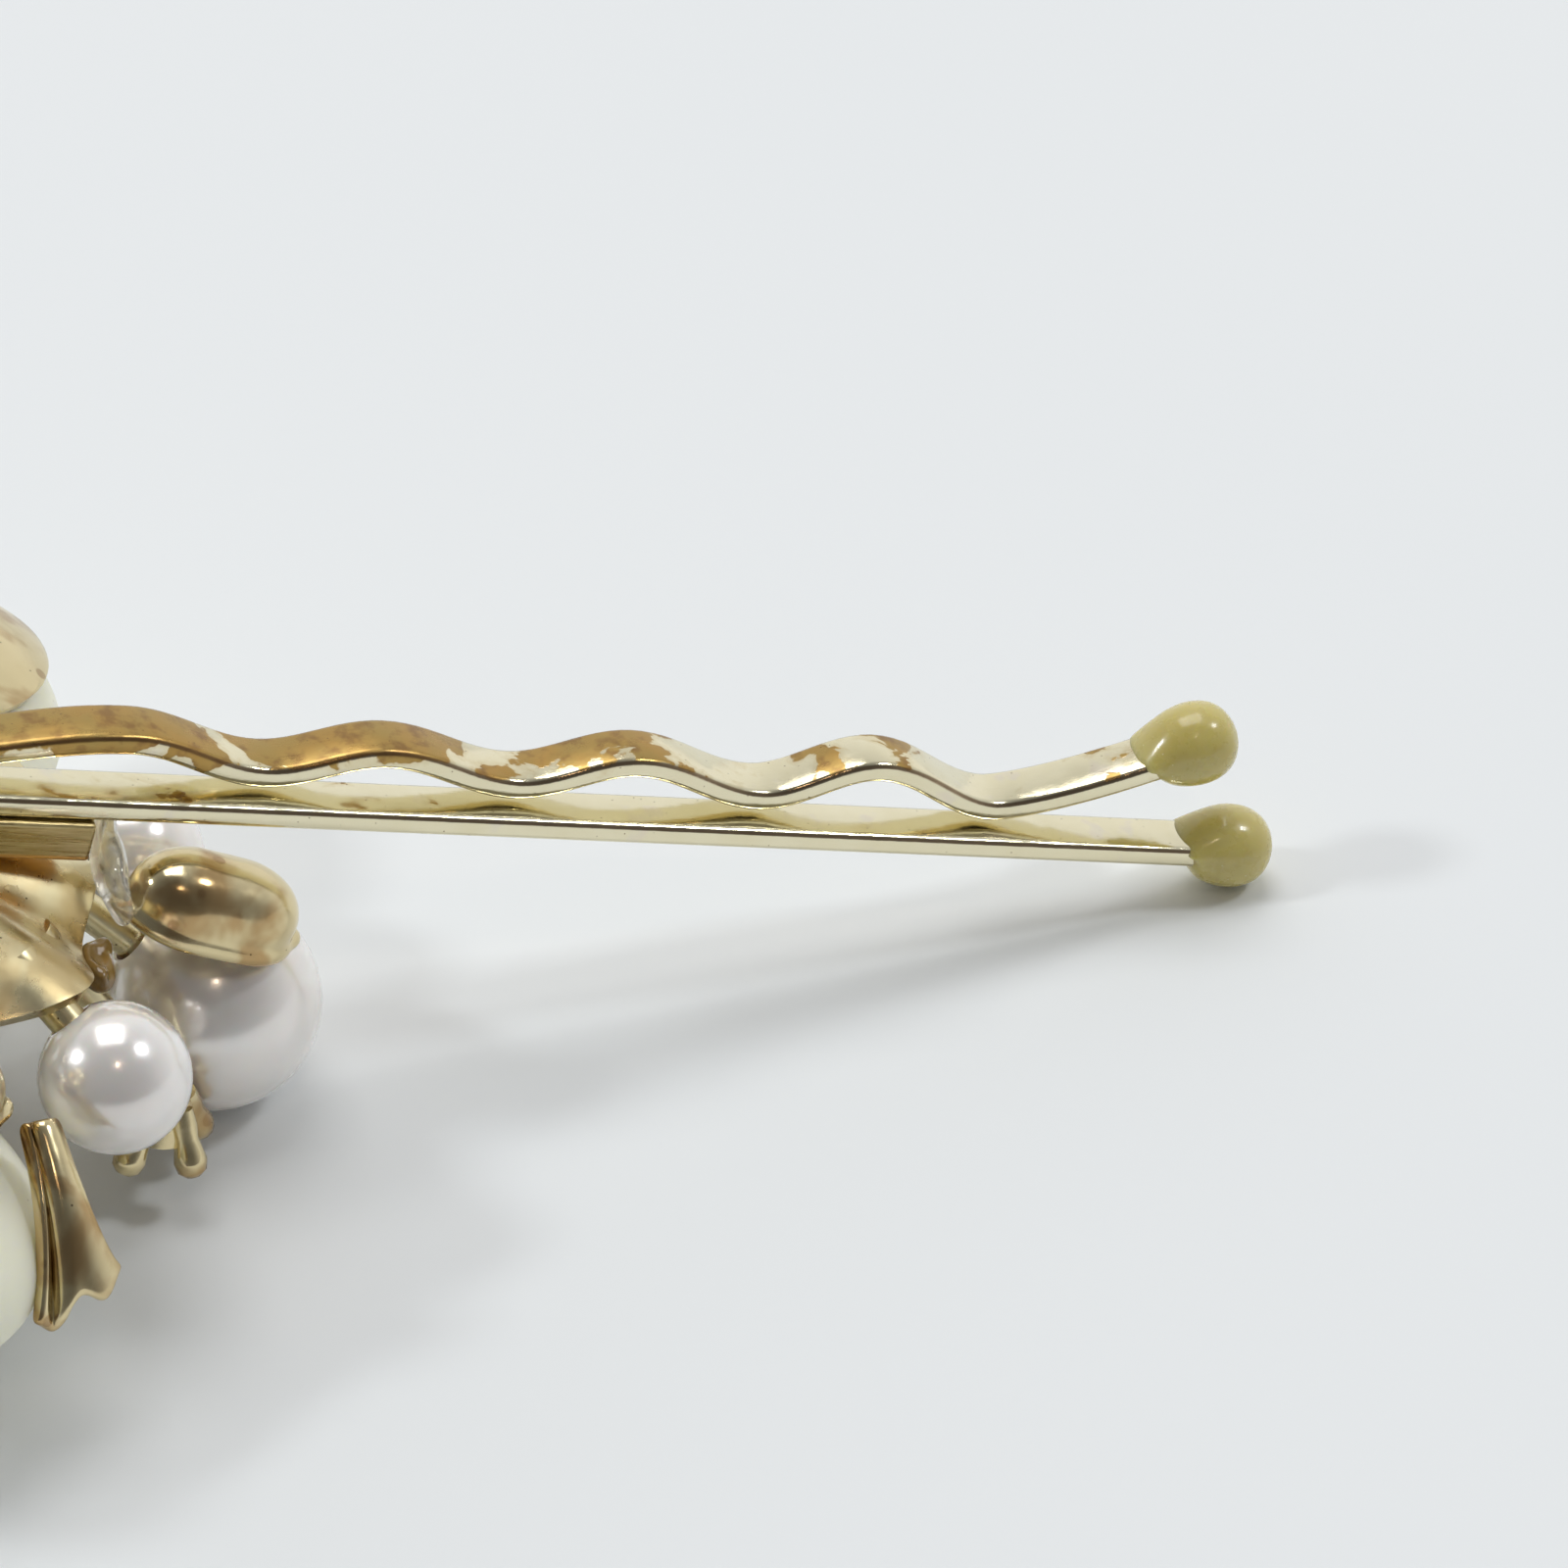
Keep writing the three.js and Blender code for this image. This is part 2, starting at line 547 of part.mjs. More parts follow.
function crystalGeometry() {
  const facets = 8;
  const table = CRYSTAL_RADIUS * 0.6;
  const girdleStart = CRYSTAL_RADIUS * 0.6;
  const girdleEnd = CRYSTAL_RADIUS * 0.75;
  const height = CRYSTAL_RADIUS * 1.15;
  const profile = [
    [0, 0],
    [CRYSTAL_RADIUS, girdleStart],
    [CRYSTAL_RADIUS, girdleEnd],
    [table, height],
    [0, height],
  ].map(([radius, z]) => new THREE.Vector2(radius, z));
  return new THREE.LatheGeometry(profile, facets).rotateX(Math.PI / 2);
}

function clawSettings() {
  CLAW_SETTINGS.forEach(({ back, foot }, i) => {
    const cup = add(`claw_cup_${i + 1}`, clawCup(), GILT_CASTING);
    cup.position.copy(back);
    cup.rotation.x = Math.PI;
    const crystal = add(`crystal_${i + 1}`, crystalGeometry(), CRYSTAL);
    crystal.position.set(back.x, back.y, back.z - PRONG_CUP_WALL - REST_GAP);
    crystal.rotation.x = Math.PI;
    const stemEnd = back.clone().setZ(back.z + REST_GAP + STEM_RADIUS);
    stem(`claw_stem_${i + 1}`, footAt(...foot), stemEnd);
  });
}

// ---- The lobed tier behind the foremost pearls, threaded on their stems ----
function frontTier() {
  const offset = -1.7; // from the cluster's middle towards the bend
  const scallop = 0.16;
  const disc = reshape(unitDisc(4, TIER_PETALS * 6), (point) => {
    const angle = Math.atan2(point.y, point.x);
    const share = Math.hypot(point.x, point.y);
    const radius = TIER_RADIUS * (1 - (scallop * share * (1 - Math.cos(TIER_PETALS * angle))) / 2);
    point.set(point.x * radius, point.y * radius, point.z * TIER_THICKNESS);
  }).translate(CLUSTER_U + offset, 0, TIER_FRONT_N);
  const threaded = LARGE_PEARLS.slice(1).map(({ centre, foot }) => rod(footAt(...foot), centre, BORE_RADIUS));
  CLAW_SETTINGS.forEach(({ back, foot }) => threaded.push(rod(footAt(...foot), back, BORE_RADIUS)));
  const petalRoom = PETALS.map((petal) => petalGeometry(petal, REST_GAP));
  add("front_tier", cut(disc, [...threaded, ...petalRoom]), GILT_CASTING);
}

// ---- Drops of glue where the bar ends ----
function glueDrop(name, centre, size, material) {
  const drop = ball(1, 10, 6).scale(...size);
  add(name, drop, material).position.copy(centre);
}

straightLeg();
springBend();
wavyLeg();
resinTip("straight_leg_tip", TIP_U, 0, 0, 0);
resinTip(
  "wavy_leg_tip",
  WAVY_TIP_U + WAVY_TIP_SEAT * Math.cos(WAVY_TIP_SLOPE),
  WAVY_SIDE_STEP,
  WAVY_TIP_RISE + WAVY_TIP_SEAT * Math.sin(WAVY_TIP_SLOPE),
  WAVY_TIP_SLOPE,
);
mountBar();
add("back_plate", plateGeometry(), GILT_CASTING);
pearls();
petals();
capsules();
clawSettings();
frontTier();
glueDrop("clear_glue", at(BAR_LENGTH / 2 + 0.55, -0.9, -1.6), [0.33, 0.9, 0.7], CLEAR_GLUE);
glueDrop("amber_glue", at(PLATE_END - 0.15, -2.55, -3.55), [0.35, 0.45, 0.4], AMBER_GLUE);

// The origin is the middle of the ground below the whole pin.
const box = new THREE.Box3().setFromObject(root, true);
root.position.set(-(box.min.x + box.max.x) / 2, -(box.min.y + box.max.y) / 2, -box.min.z);

export default root;
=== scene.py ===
"""A decorative hair pin lying face down on its ornament: two flat-wire legs with resin-dipped ends,
a brass mount bar, and a gilt cluster of pearls, ivory petals, leaves, capsules and claw settings."""
import json
import math

import bmesh
import bpy
from mathutils import Matrix, Vector


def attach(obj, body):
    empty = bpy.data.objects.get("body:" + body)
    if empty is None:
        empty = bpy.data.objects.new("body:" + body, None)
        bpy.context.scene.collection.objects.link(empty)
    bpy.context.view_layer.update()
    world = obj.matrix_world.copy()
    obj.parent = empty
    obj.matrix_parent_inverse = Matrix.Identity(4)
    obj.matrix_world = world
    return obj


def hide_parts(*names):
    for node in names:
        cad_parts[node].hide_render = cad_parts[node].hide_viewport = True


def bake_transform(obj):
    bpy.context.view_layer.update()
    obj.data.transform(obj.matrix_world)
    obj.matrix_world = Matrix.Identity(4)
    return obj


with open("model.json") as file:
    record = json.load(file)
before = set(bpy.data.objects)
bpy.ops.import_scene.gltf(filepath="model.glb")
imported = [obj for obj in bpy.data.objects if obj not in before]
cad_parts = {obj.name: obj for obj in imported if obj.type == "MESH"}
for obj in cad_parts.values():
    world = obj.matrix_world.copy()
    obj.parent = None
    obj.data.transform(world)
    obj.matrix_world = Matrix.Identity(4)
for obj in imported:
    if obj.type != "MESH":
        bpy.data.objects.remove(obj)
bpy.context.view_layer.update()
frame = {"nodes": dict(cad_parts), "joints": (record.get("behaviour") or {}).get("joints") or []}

# ---- Sizes, in millimetres, along the pin (u), across it (v) and out of its back (n) ----
MM = 0.001
TILT = math.radians(16.5)
PIN_LENGTH = 58
WIRE_WIDTH = 1.55
WIRE_THICKNESS = 0.65
WIRE_EDGE = 0.2
TIP_RADIUS = 1.25
BEND_U = 1.45
BEND_RADIUS = 1.125
BEND_ANGLE = math.radians(202.3)
SIDE_STEP = 0.65
HOLLOW_N = 0.82
WAVY_TIP_U = PIN_LENGTH - TIP_RADIUS - 2.25
WAVY_TIP_RISE = 2.88
LAST_HOLLOW_U = PIN_LENGTH - 8.9
WAVE_PITCH = 7.1
WAVE_FIRST_RUN = 6.3
WAVE_CREST_LEAD = 0.47
WAVE_CRESTS = (0.86, 0.8, 0.9, 1.16)
BAR_LENGTH = 14
BAR_WIDTH = 1.8
BAR_BACK_N = -0.34
BAR_FRONT_N = -1.53
CLUSTER_U = 16.3
PLATE_TOP_N = -1.545
PLATE_LENGTH = 15.2
PLATE_WIDTH = 12.8
PLATE_DIAGONAL = 0.15
PLATE_THICKNESS = 0.6
PLATE_DROP = 0.85
PLATE_FURROW = 0.9
PLATE_SCALLOP = 0.09
PLATE_LOBES = 8
LARGE_PEARL_RADIUS = 3
SMALL_PEARL_RADIUS = 2
STEM_RADIUS = 0.5
PETAL_SIZE = (10.6, 9, 5.4)
CAPSULE_REACH = 2.6
CAPSULE_LIP = 1.54
CAPSULE_STRETCH = 0.45
CLAW_COUNT = 5
CLAW_LEAN = math.radians(31)
FIRST_CLAW = math.radians(-17)
CRYSTAL_RADIUS = 0.66
CRYSTAL_SINK = 0.4
PEARL_BORE = 0.62
FILLET = ((0.6, 0), (0.62, 0.3), (0.55, 0.65))
FOOT_CLEARANCE = 0.05
SHELL_THICKNESS = 0.45
SHELL_CREASE = 0.16
LEAF_THICKNESS = 0.4
MERGE_WITHIN = 0.0005

joint = frame["joints"][0]
PIN_TURN = Matrix.Rotation(TILT, 4, "Y")
BEND_CENTRE = Vector((BEND_U, SIDE_STEP / 2, BEND_RADIUS)) * MM
PIN_PLACE = Matrix.Translation(Vector(joint["pos_m"])) @ PIN_TURN @ Matrix.Translation(-BEND_CENTRE)
PIN_BACK = PIN_TURN.to_3x3() @ Vector((0, 0, 1))
PIN_ALONG = PIN_TURN.to_3x3() @ Vector((1, 0, 0))


# ---- Handling pieces ----
def select_only(piece):
    bpy.ops.object.select_all(action="DESELECT")
    piece.select_set(True)
    bpy.context.view_layer.objects.active = piece


def start_shaping(name):
    """Names the primitive just added and opens it for shaping, with all of it selected."""
    piece = bpy.context.active_object
    piece.name = piece.data.name = name
    select_only(piece)
    bpy.ops.object.mode_set(mode="EDIT")
    bpy.ops.mesh.select_all(action="SELECT")
    return piece


def pick(test):
    """Selects the vertices whose places pass a test."""
    bpy.ops.mesh.select_all(action="DESELECT")
    data = bpy.context.active_object.data
    mesh = bmesh.from_edit_mesh(data)
    for vertex in mesh.verts:
        if test(vertex.co):
            vertex.select_set(True)
    mesh.select_flush(True)
    bmesh.update_edit_mesh(data)


def move(x=0.0, y=0.0, z=0.0):
    bpy.ops.transform.translate(value=(x, y, z))


def widen(x, y, z=1.0, centre=(0, 0, 0)):
    bpy.ops.transform.resize(value=(x, y, z), center_override=centre)


def turn(angle, axis, centre=(0, 0, 0)):
    """Turns what is selected about an axis, by the right-hand rule."""
    bpy.ops.transform.rotate(value=-angle, orient_axis=axis, center_override=centre)


def draw_out(x=0.0, y=0.0, z=0.0):
    bpy.ops.mesh.extrude_region_move(TRANSFORM_OT_translate={"value": (x, y, z)})


def close_to_point():
    draw_out()
    bpy.ops.mesh.merge(type="CENTER")


def stop_shaping(smooth=40):
    bpy.ops.mesh.select_all(action="SELECT")
    bpy.ops.mesh.remove_doubles(threshold=MERGE_WITHIN)
    bpy.ops.mesh.normals_make_consistent(inside=False)
    bpy.ops.object.mode_set(mode="OBJECT")
    bpy.ops.object.shade_smooth_by_angle(angle=math.radians(smooth))


def finish_with(piece, kind, **settings):
    """Adds a modifier to a piece and applies it."""
    select_only(piece)
    bpy.ops.object.modifier_add(type=kind)
    modifier = piece.modifiers[-1]
    for setting, value in settings.items():
        setattr(modifier, setting, value)
    bpy.ops.object.modifier_apply(modifier=modifier.name)


def round_off(piece, levels=2):
    finish_with(piece, "SUBSURF", levels=levels, render_levels=levels)


def copy_of(piece, name):
    select_only(piece)
    bpy.ops.object.duplicate()
    copy = bpy.context.active_object
    copy.name = copy.data.name = name
    return copy


def join_all(pieces, name):
    select_only(pieces[0])
    for piece in pieces[1:]:
        piece.select_set(True)
    bpy.ops.object.join()
    joined = bpy.context.active_object
    joined.name = joined.data.name = name
    return joined


def aimed(centre, direction):
    """A place at a point, its own z along a direction."""
    return Matrix.Translation(centre) @ Vector(direction).to_track_quat("Z", "Y").to_matrix().to_4x4()


def set_down(piece, material, nodes, where=Matrix(), body="pin"):
    """Puts a piece modelled in millimetres in its place on the pin, and hands it to its body."""
    select_only(piece)
    piece.matrix_world = PIN_PLACE @ Matrix.Scale(MM, 4) @ where
    bpy.ops.object.transform_apply(location=True, rotation=True, scale=True)
    piece.data.materials.clear()
    piece.data.materials.append(material)
    if body:
        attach(piece, body)
    if nodes:
        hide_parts(*nodes)
    return piece


def turned(name, profile, sides=32, smooth=40, oblong=0.0):
    """A round body raised ring by ring from its first circle, with both ends closed."""
    radius, height = profile[0]
    bpy.ops.mesh.primitive_circle_add(vertices=sides, radius=radius, fill_type="NOTHING")
    piece = start_shaping(name)
    move(z=height)
    bpy.ops.mesh.duplicate()
    for next_radius, next_height in profile[1:]:
        draw_out(z=next_height - height)
        if next_radius == 0:
            bpy.ops.mesh.merge(type="CENTER")
            break
        widen(next_radius / radius, next_radius / radius, centre=(0, 0, next_height))
        radius, height = next_radius, next_height
    else:
        close_to_point()
    bpy.ops.mesh.select_all(action="DESELECT")
    pick_loose_circle()
    close_to_point()
    if oblong:
        pick(lambda place: place.x > 1e-4)
        move(x=oblong)
        pick(lambda place: place.x < 1e-4)
        move(x=-oblong)
    stop_shaping(smooth)
    return piece


def pick_loose_circle():
    """Selects the first circle, which has no faces on it yet."""
    data = bpy.context.active_object.data
    mesh = bmesh.from_edit_mesh(data)
    for edge in mesh.edges:
        edge.select_set(not edge.link_faces)
    bmesh.update_edit_mesh(data)


# ---- Finishes ----
RANGE_ENDS = ("From Min", "From Max", "To Min", "To Max")


class Finish:
    """A material whose patterns are sized in millimetres on the pin's own directions."""

    def __init__(self, name, **sockets):
        self.material = bpy.data.materials.new(name)
        self.material.use_nodes = True
        self.nodes = self.material.node_tree.nodes
        self.links = self.material.node_tree.links
        self.shader = self.nodes["Principled BSDF"]
        for socket, value in sockets.items():
            self.shader.inputs[socket.replace("_", " ").title().replace("Ior", "IOR")].default_value = value
        place = self.nodes.new("ShaderNodeTexCoord")
        self.spread = self.nodes.new("ShaderNodeMapping")
        self.spread.inputs["Rotation"].default_value = (0, -TILT, 0)
        self.spread.inputs["Location"].default_value = PIN_PLACE.inverted().translation / MM
        self.spread.inputs["Scale"].default_value = (1 / MM, 1 / MM, 1 / MM)
        self.links.new(place.outputs["Object"], self.spread.inputs["Vector"])

    def feed(self, value, socket):
        """Gives an input a fixed value or the output of another node."""
        if isinstance(value, bpy.types.NodeSocket):
            self.links.new(value, socket)
        elif hasattr(socket.default_value, "__len__") and len(value) == 3 and len(socket.default_value) == 4:
            socket.default_value = (*value, 1)
        else:
            socket.default_value = value

    def stretched(self, scale):
        """The pattern's directions, with each one scaled."""
        node = self.nodes.new("ShaderNodeVectorMath")
        node.operation = "MULTIPLY"
        self.links.new(self.spread.outputs["Vector"], node.inputs[0])
        node.inputs[1].default_value = scale
        return node.outputs["Vector"]

    def noise(self, scale, detail=3.0, roughness=0.55, distortion=0.0, stretch=None, shift=0.0):
        node = self.nodes.new("ShaderNodeTexNoise")
        node.noise_dimensions = "4D"
        node.inputs["W"].default_value = shift
        node.inputs["Scale"].default_value = scale
        node.inputs["Detail"].default_value = detail
        node.inputs["Roughness"].default_value = roughness
        node.inputs["Distortion"].default_value = distortion
        source = self.stretched(stretch) if stretch else self.spread.outputs["Vector"]
        self.links.new(source, node.inputs["Vector"])
        return node.outputs["Fac"]

    def spots(self, scale, size, soft=0.05, stretch=None):
        """Round flecks: 1 inside a fleck, 0 outside."""
        node = self.nodes.new("ShaderNodeTexVoronoi")
        node.inputs["Scale"].default_value = scale
        source = self.stretched(stretch) if stretch else self.spread.outputs["Vector"]
        self.links.new(source, node.inputs["Vector"])
        return self.step(node.outputs["Distance"], size + soft, size)

    def step(self, value, low, high, to_low=0.0, to_high=1.0):
        """Takes a value from one range to another, and stops at its ends."""
        node = self.nodes.new("ShaderNodeMapRange")
        node.interpolation_type = "SMOOTHSTEP"
        self.links.new(value, node.inputs["Value"])
        for socket, number in zip(RANGE_ENDS, (low, high, to_low, to_high)):
            node.inputs[socket].default_value = number
        return node.outputs["Result"]

    def sum(self, first, second, how="ADD"):
        """Joins two values, kept from 0 to 1 unless the way is PLUS."""
        node = self.nodes.new("ShaderNodeMath")
        node.operation = "ADD" if how == "PLUS" else how
        node.use_clamp = how != "PLUS"
        self.feed(first, node.inputs[0])
        self.feed(second, node.inputs[1])
        return node.outputs["Value"]

    def blend(self, share, first, second, how="MIX"):
        node = self.nodes.new("ShaderNodeMix")
        node.data_type = "RGBA"
        node.blend_type = how
        self.feed(share, node.inputs["Factor"])
        self.feed(first, node.inputs["A_Color"] if "A_Color" in node.inputs else node.inputs[6])
        self.feed(second, node.inputs["B_Color"] if "B_Color" in node.inputs else node.inputs[7])
        return node.outputs[2]

    def distance(self, axis):
        """How far along the pin (X), across it (Y) or out of its back (Z) the surface is."""
        node = self.nodes.new("ShaderNodeSeparateXYZ")
        self.links.new(self.spread.outputs["Vector"], node.inputs["Vector"])
        return node.outputs[axis]

    def facing(self, direction):
        """1 where the surface faces a direction, -1 where it faces away."""
        surface = self.nodes.new("ShaderNodeNewGeometry")
        node = self.nodes.new("ShaderNodeVectorMath")
        node.operation = "DOT_PRODUCT"
        self.links.new(surface.outputs["Normal"], node.inputs[0])
        node.inputs[1].default_value = direction
        return node.outputs["Value"]

    def colour(self, value):
        self.feed(value, self.shader.inputs["Base Color"])

    def roughness(self, value):
        self.feed(value, self.shader.inputs["Roughness"])

    def bump(self, *layers):
        """Stacks height patterns, each with its own strength and depth in millimetres."""
        below = None
        for height, strength, depth in layers:
            node = self.nodes.new("ShaderNodeBump")
            node.inputs["Strength"].default_value = strength
            node.inputs["Distance"].default_value = depth * MM
            self.links.new(height, node.inputs["Height"])
            if below:
                self.links.new(below, node.inputs["Normal"])
            below = node.outputs["Normal"]
        self.links.new(below, self.shader.inputs["Normal"])


def polished_gilt():
    """Champagne gold wire, tarnished brown on its crests near the ornament, bare and creamy elsewhere, with a
    painted dark reflection line along its edge bevels.
    """
    finish = Finish("polished_gilt_wire", metallic=1.0)
    champagne = finish.blend(finish.noise(0.9, 2, shift=3), (0.80, 0.72, 0.48), (0.88, 0.82, 0.61))
    copper = finish.blend(finish.noise(0.9, 2, shift=2), (0.52, 0.28, 0.075), (0.38, 0.30, 0.11))
    copper = finish.blend(finish.step(finish.noise(1.9, 3), 0.46, 0.68, 0, 0.75), copper, (0.27, 0.15, 0.06))
    near_ornament = finish.step(finish.distance("X"), 54, 24, -0.13, 0.13)
    on_crest = finish.step(finish.distance("Z"), 0.4, 1.9, -0.25, 0.085)
    facing_back = finish.facing(PIN_BACK)
    on_back = finish.step(facing_back, 0.4, 0.85, -0.07, 0.06)
    on_far_slope = finish.step(finish.facing(PIN_ALONG), 0.12, 0.4, 0, -0.11)
    by_place = finish.sum(near_ornament, on_crest, "PLUS")
    by_facing = finish.sum(on_back, on_far_slope, "PLUS")
    bias = finish.sum(by_place, by_facing, "PLUS")
    patches = finish.sum(finish.noise(0.75, 4, 0.55, 0.4, stretch=(0.8, 1, 1), shift=2.6), bias, "PLUS")
    tarnish = finish.step(patches, 0.56, 0.585)
    halo = finish.step(patches, 0.49, 0.57, 0, 0.4)
    worn = finish.blend(halo, champagne, (0.66, 0.53, 0.29))
    tints = finish.blend(finish.noise(1.6, 1, shift=8), (0.72, 0.73, 0.66), (0.80, 0.64, 0.56))
    tinted = finish.blend(finish.step(finish.noise(0.9, 2, shift=5), 0.6, 0.7, 0, 0.4), worn, tints)
    coloured = finish.blend(tarnish, tinted, copper)
    # Painted dark reflection: a dark brown line on the bevels between the wire's sides and its back.
    past_side, before_back = finish.step(facing_back, 0.3, 0.45), finish.step(facing_back, 0.84, 0.7)
    painted_edge_reflection = finish.sum(past_side, before_back, "MULTIPLY")
    coloured = finish.blend(finish.sum(painted_edge_reflection, 0.75, "MULTIPLY"), coloured, (0.24, 0.13, 0.06))
    flecks = finish.spots(3.2, 0.045, 0.03)
    finish.colour(finish.blend(flecks, coloured, (0.16, 0.09, 0.04)))
    rub = finish.noise(1.4, 4, 0.6, stretch=(0.5, 2, 2))
    finish.roughness(finish.sum(finish.step(rub, 0.3, 0.75, 0.09, 0.22), finish.step(tarnish, 0, 1, 0, 0.16)))
    finish.bump(
        (finish.noise(0.7, 2, stretch=(1, 0.6, 0.6)), 0.5, 0.1),
        (finish.noise(9, 3, stretch=(0.4, 2, 2)), 0.18, 0.012),
        (tarnish, 0.3, 0.008),
        (flecks, 0.25, 0.01),
    )
    return finish.material


def satin_gilt():
    """Cast gilt metal with soft, uneven polish, warm orange tones in random patches and browned spots."""
    finish = Finish("satin_gilt_casting", metallic=1.0)
    pale = finish.blend(finish.noise(0.8, 2, shift=2), (0.70, 0.60, 0.35), (0.82, 0.73, 0.47))
    orange = finish.blend(finish.noise(1.2, 2), (0.70, 0.48, 0.19), (0.48, 0.33, 0.13))
    share = finish.step(finish.noise(0.4, 3, 0.5, 0.4, shift=4), 0.48, 0.64, 0, 0.55)
    worn = finish.blend(share, pale, orange)
    pits = finish.spots(2.6, 0.05, 0.04)
    finish.colour(finish.blend(pits, worn, (0.12, 0.07, 0.03)))
    finish.roughness(finish.step(finish.noise(1.2, 4), 0.3, 0.72, 0.22, 0.38))
    finish.bump(
        (finish.noise(0.5, 1), 0.3, 0.04),
        (finish.noise(7, 4), 0.2, 0.008),
        (pits, -0.5, 0.02),
    )
    return finish.material


def polished_sheet():
    """Polished gilt pressings: smooth, a little wavy, browned in places, with a few dark pits."""
    finish = Finish("polished_gilt_sheet", metallic=1.0)
    pale = finish.blend(finish.noise(0.5, 2, shift=6), (0.80, 0.69, 0.43), (0.68, 0.56, 0.31))
    brown = finish.step(finish.noise(0.5, 3, 0.5, 0.5, shift=9), 0.46, 0.62, 0, 0.85)
    browns = finish.blend(finish.noise(1.3, 2), (0.50, 0.30, 0.12), (0.38, 0.26, 0.12))
    worn = finish.blend(brown, pale, browns)
    blotches = finish.spots(0.8, 0.13, 0.05)
    worn = finish.blend(finish.sum(blotches, 0.6, "MULTIPLY"), worn, (0.34, 0.20, 0.09))
    pits = finish.spots(1.7, 0.035, 0.02)
    finish.colour(finish.blend(pits, worn, (0.10, 0.06, 0.03)))
    finish.roughness(finish.step(finish.noise(1.3, 4), 0.3, 0.7, 0.12, 0.25))
    finish.bump((finish.noise(0.6, 1), 0.35, 0.12), (finish.noise(6, 3), 0.12, 0.01), (pits, -0.5, 0.02))
    return finish.material


def brushed_brass():
    """Brown brass with fine marks along the bar, a painted highlight along its far edge, and its front edge
    orange.
    """
    finish = Finish("brushed_brass_bar", metallic=1.0)
    grain = finish.noise(3.5, 5, 0.65, stretch=(0.14, 3, 3))
    base = finish.blend(finish.noise(0.6, 3), (0.34, 0.25, 0.10), (0.46, 0.35, 0.155))
    brushed = finish.blend(finish.step(grain, 0.38, 0.68, 0, 0.75), base, (0.66, 0.54, 0.29))
    # Painted highlight: a pale gold band with a wavering border along the bar's far edge.
    waver = finish.step(finish.noise(1.6, 3), 0.3, 0.7, -0.16, 0.16)
    ragged = finish.sum(finish.distance("Y"), waver, "PLUS")
    painted_far_highlight = finish.step(ragged, 0.52, 0.66)
    near_edge = finish.step(finish.distance("Z"), BAR_FRONT_N + 0.22, BAR_FRONT_N + 0.12, 0, 0.7)
    with_far_highlight = finish.blend(painted_far_highlight, brushed, (0.86, 0.72, 0.40))
    finish.colour(finish.blend(near_edge, with_far_highlight, (0.80, 0.42, 0.12)))
    finish.roughness(finish.step(grain, 0.3, 0.7, 0.22, 0.4))
    finish.bump((grain, 0.5, 0.035), (finish.noise(0.7, 2), 0.4, 0.1))
    return finish.material


def ochre_resin():
    """Translucent olive-yellow resin with a few tiny bubbles near its surface."""
    finish = Finish(
        "ochre_resin", subsurface_weight=0.6, subsurface_scale=0.0012, coat_weight=0.5, coat_roughness=0.1,
        ior=1.5,
    )
    finish.shader.inputs["Subsurface Radius"].default_value = (1.0, 0.8, 0.2)
    cloud = finish.blend(finish.noise(0.8, 3, shift=3), (0.46, 0.37, 0.09), (0.64, 0.56, 0.20))
    bubbles = finish.spots(2.6, 0.045, 0.03)
    finish.colour(finish.blend(bubbles, cloud, (0.72, 0.66, 0.36)))
    finish.roughness(finish.step(finish.noise(2.2, 3), 0.3, 0.7, 0.2, 0.38))
    finish.bump((finish.noise(0.8, 2), 0.5, 0.12), (bubbles, 0.4, 0.015))
    return finish.material


def pearl_lustre():
    """Imitation pearl: a silvery white coat with faint pink and grey clouds under clear gloss."""
    finish = Finish(
        "pearl_lustre", metallic=0.42, coat_weight=1.0, coat_roughness=0.04, coat_ior=1.5,
        subsurface_weight=0.2, subsurface_scale=0.001,
    )
    cloud = finish.blend(finish.noise(0.35, 2, distortion=0.8), (0.93, 0.90, 0.86), (0.94, 0.88, 0.84))
    cool = finish.step(finish.noise(0.5, 2, shift=4), 0.45, 0.7, 0, 0.5)
    finish.colour(finish.blend(cool, cloud, (0.86, 0.86, 0.86)))
    finish.roughness(finish.step(finish.noise(1.6, 3), 0.3, 0.7, 0.18, 0.26))
    finish.bump((finish.noise(2.4, 3), 0.12, 0.02), (finish.noise(16, 2), 0.08, 0.004))
    return finish.material


def ivory_resin():
    """Matte ivory resin that glows yellow-green where it is thin."""
    finish = Finish("ivory_resin", subsurface_weight=0.5, subsurface_scale=0.0016, specular_ior_level=0.35)
    finish.shader.inputs["Subsurface Radius"].default_value = (1.0, 0.95, 0.45)
    cloud = finish.blend(finish.noise(0.5, 3), (0.86, 0.85, 0.66), (0.90, 0.89, 0.76))
    finish.colour(finish.blend(finish.spots(1.4, 0.03, 0.03), cloud, (0.55, 0.50, 0.35)))
    finish.roughness(finish.step(finish.noise(1.5, 4), 0.3, 0.7, 0.42, 0.62))
    finish.bump((finish.noise(0.8, 2), 0.4, 0.1), (finish.noise(12, 3), 0.15, 0.008))
    return finish.material


def cut_crystal():
    finish = Finish("cut_crystal", transmission_weight=0.85, ior=1.55, base_color=(0.97, 0.98, 1, 1))
    finish.roughness(finish.step(finish.noise(2, 2), 0.4, 0.7, 0.01, 0.05))
    return finish.material


def set_glue(name, pale, deep, through):
    """Set glue: glossy, uneven, clear or amber."""
    finish = Finish(name, transmission_weight=through, ior=1.25, coat_weight=1.0, coat_roughness=0.04)
    finish.colour(finish.blend(finish.noise(1.6, 3), pale, deep))
    finish.roughness(finish.step(finish.noise(2.5, 3), 0.3, 0.7, 0.08, 0.22))
    finish.bump((finish.noise(1.5, 2), 0.6, 0.12))
    return finish.material


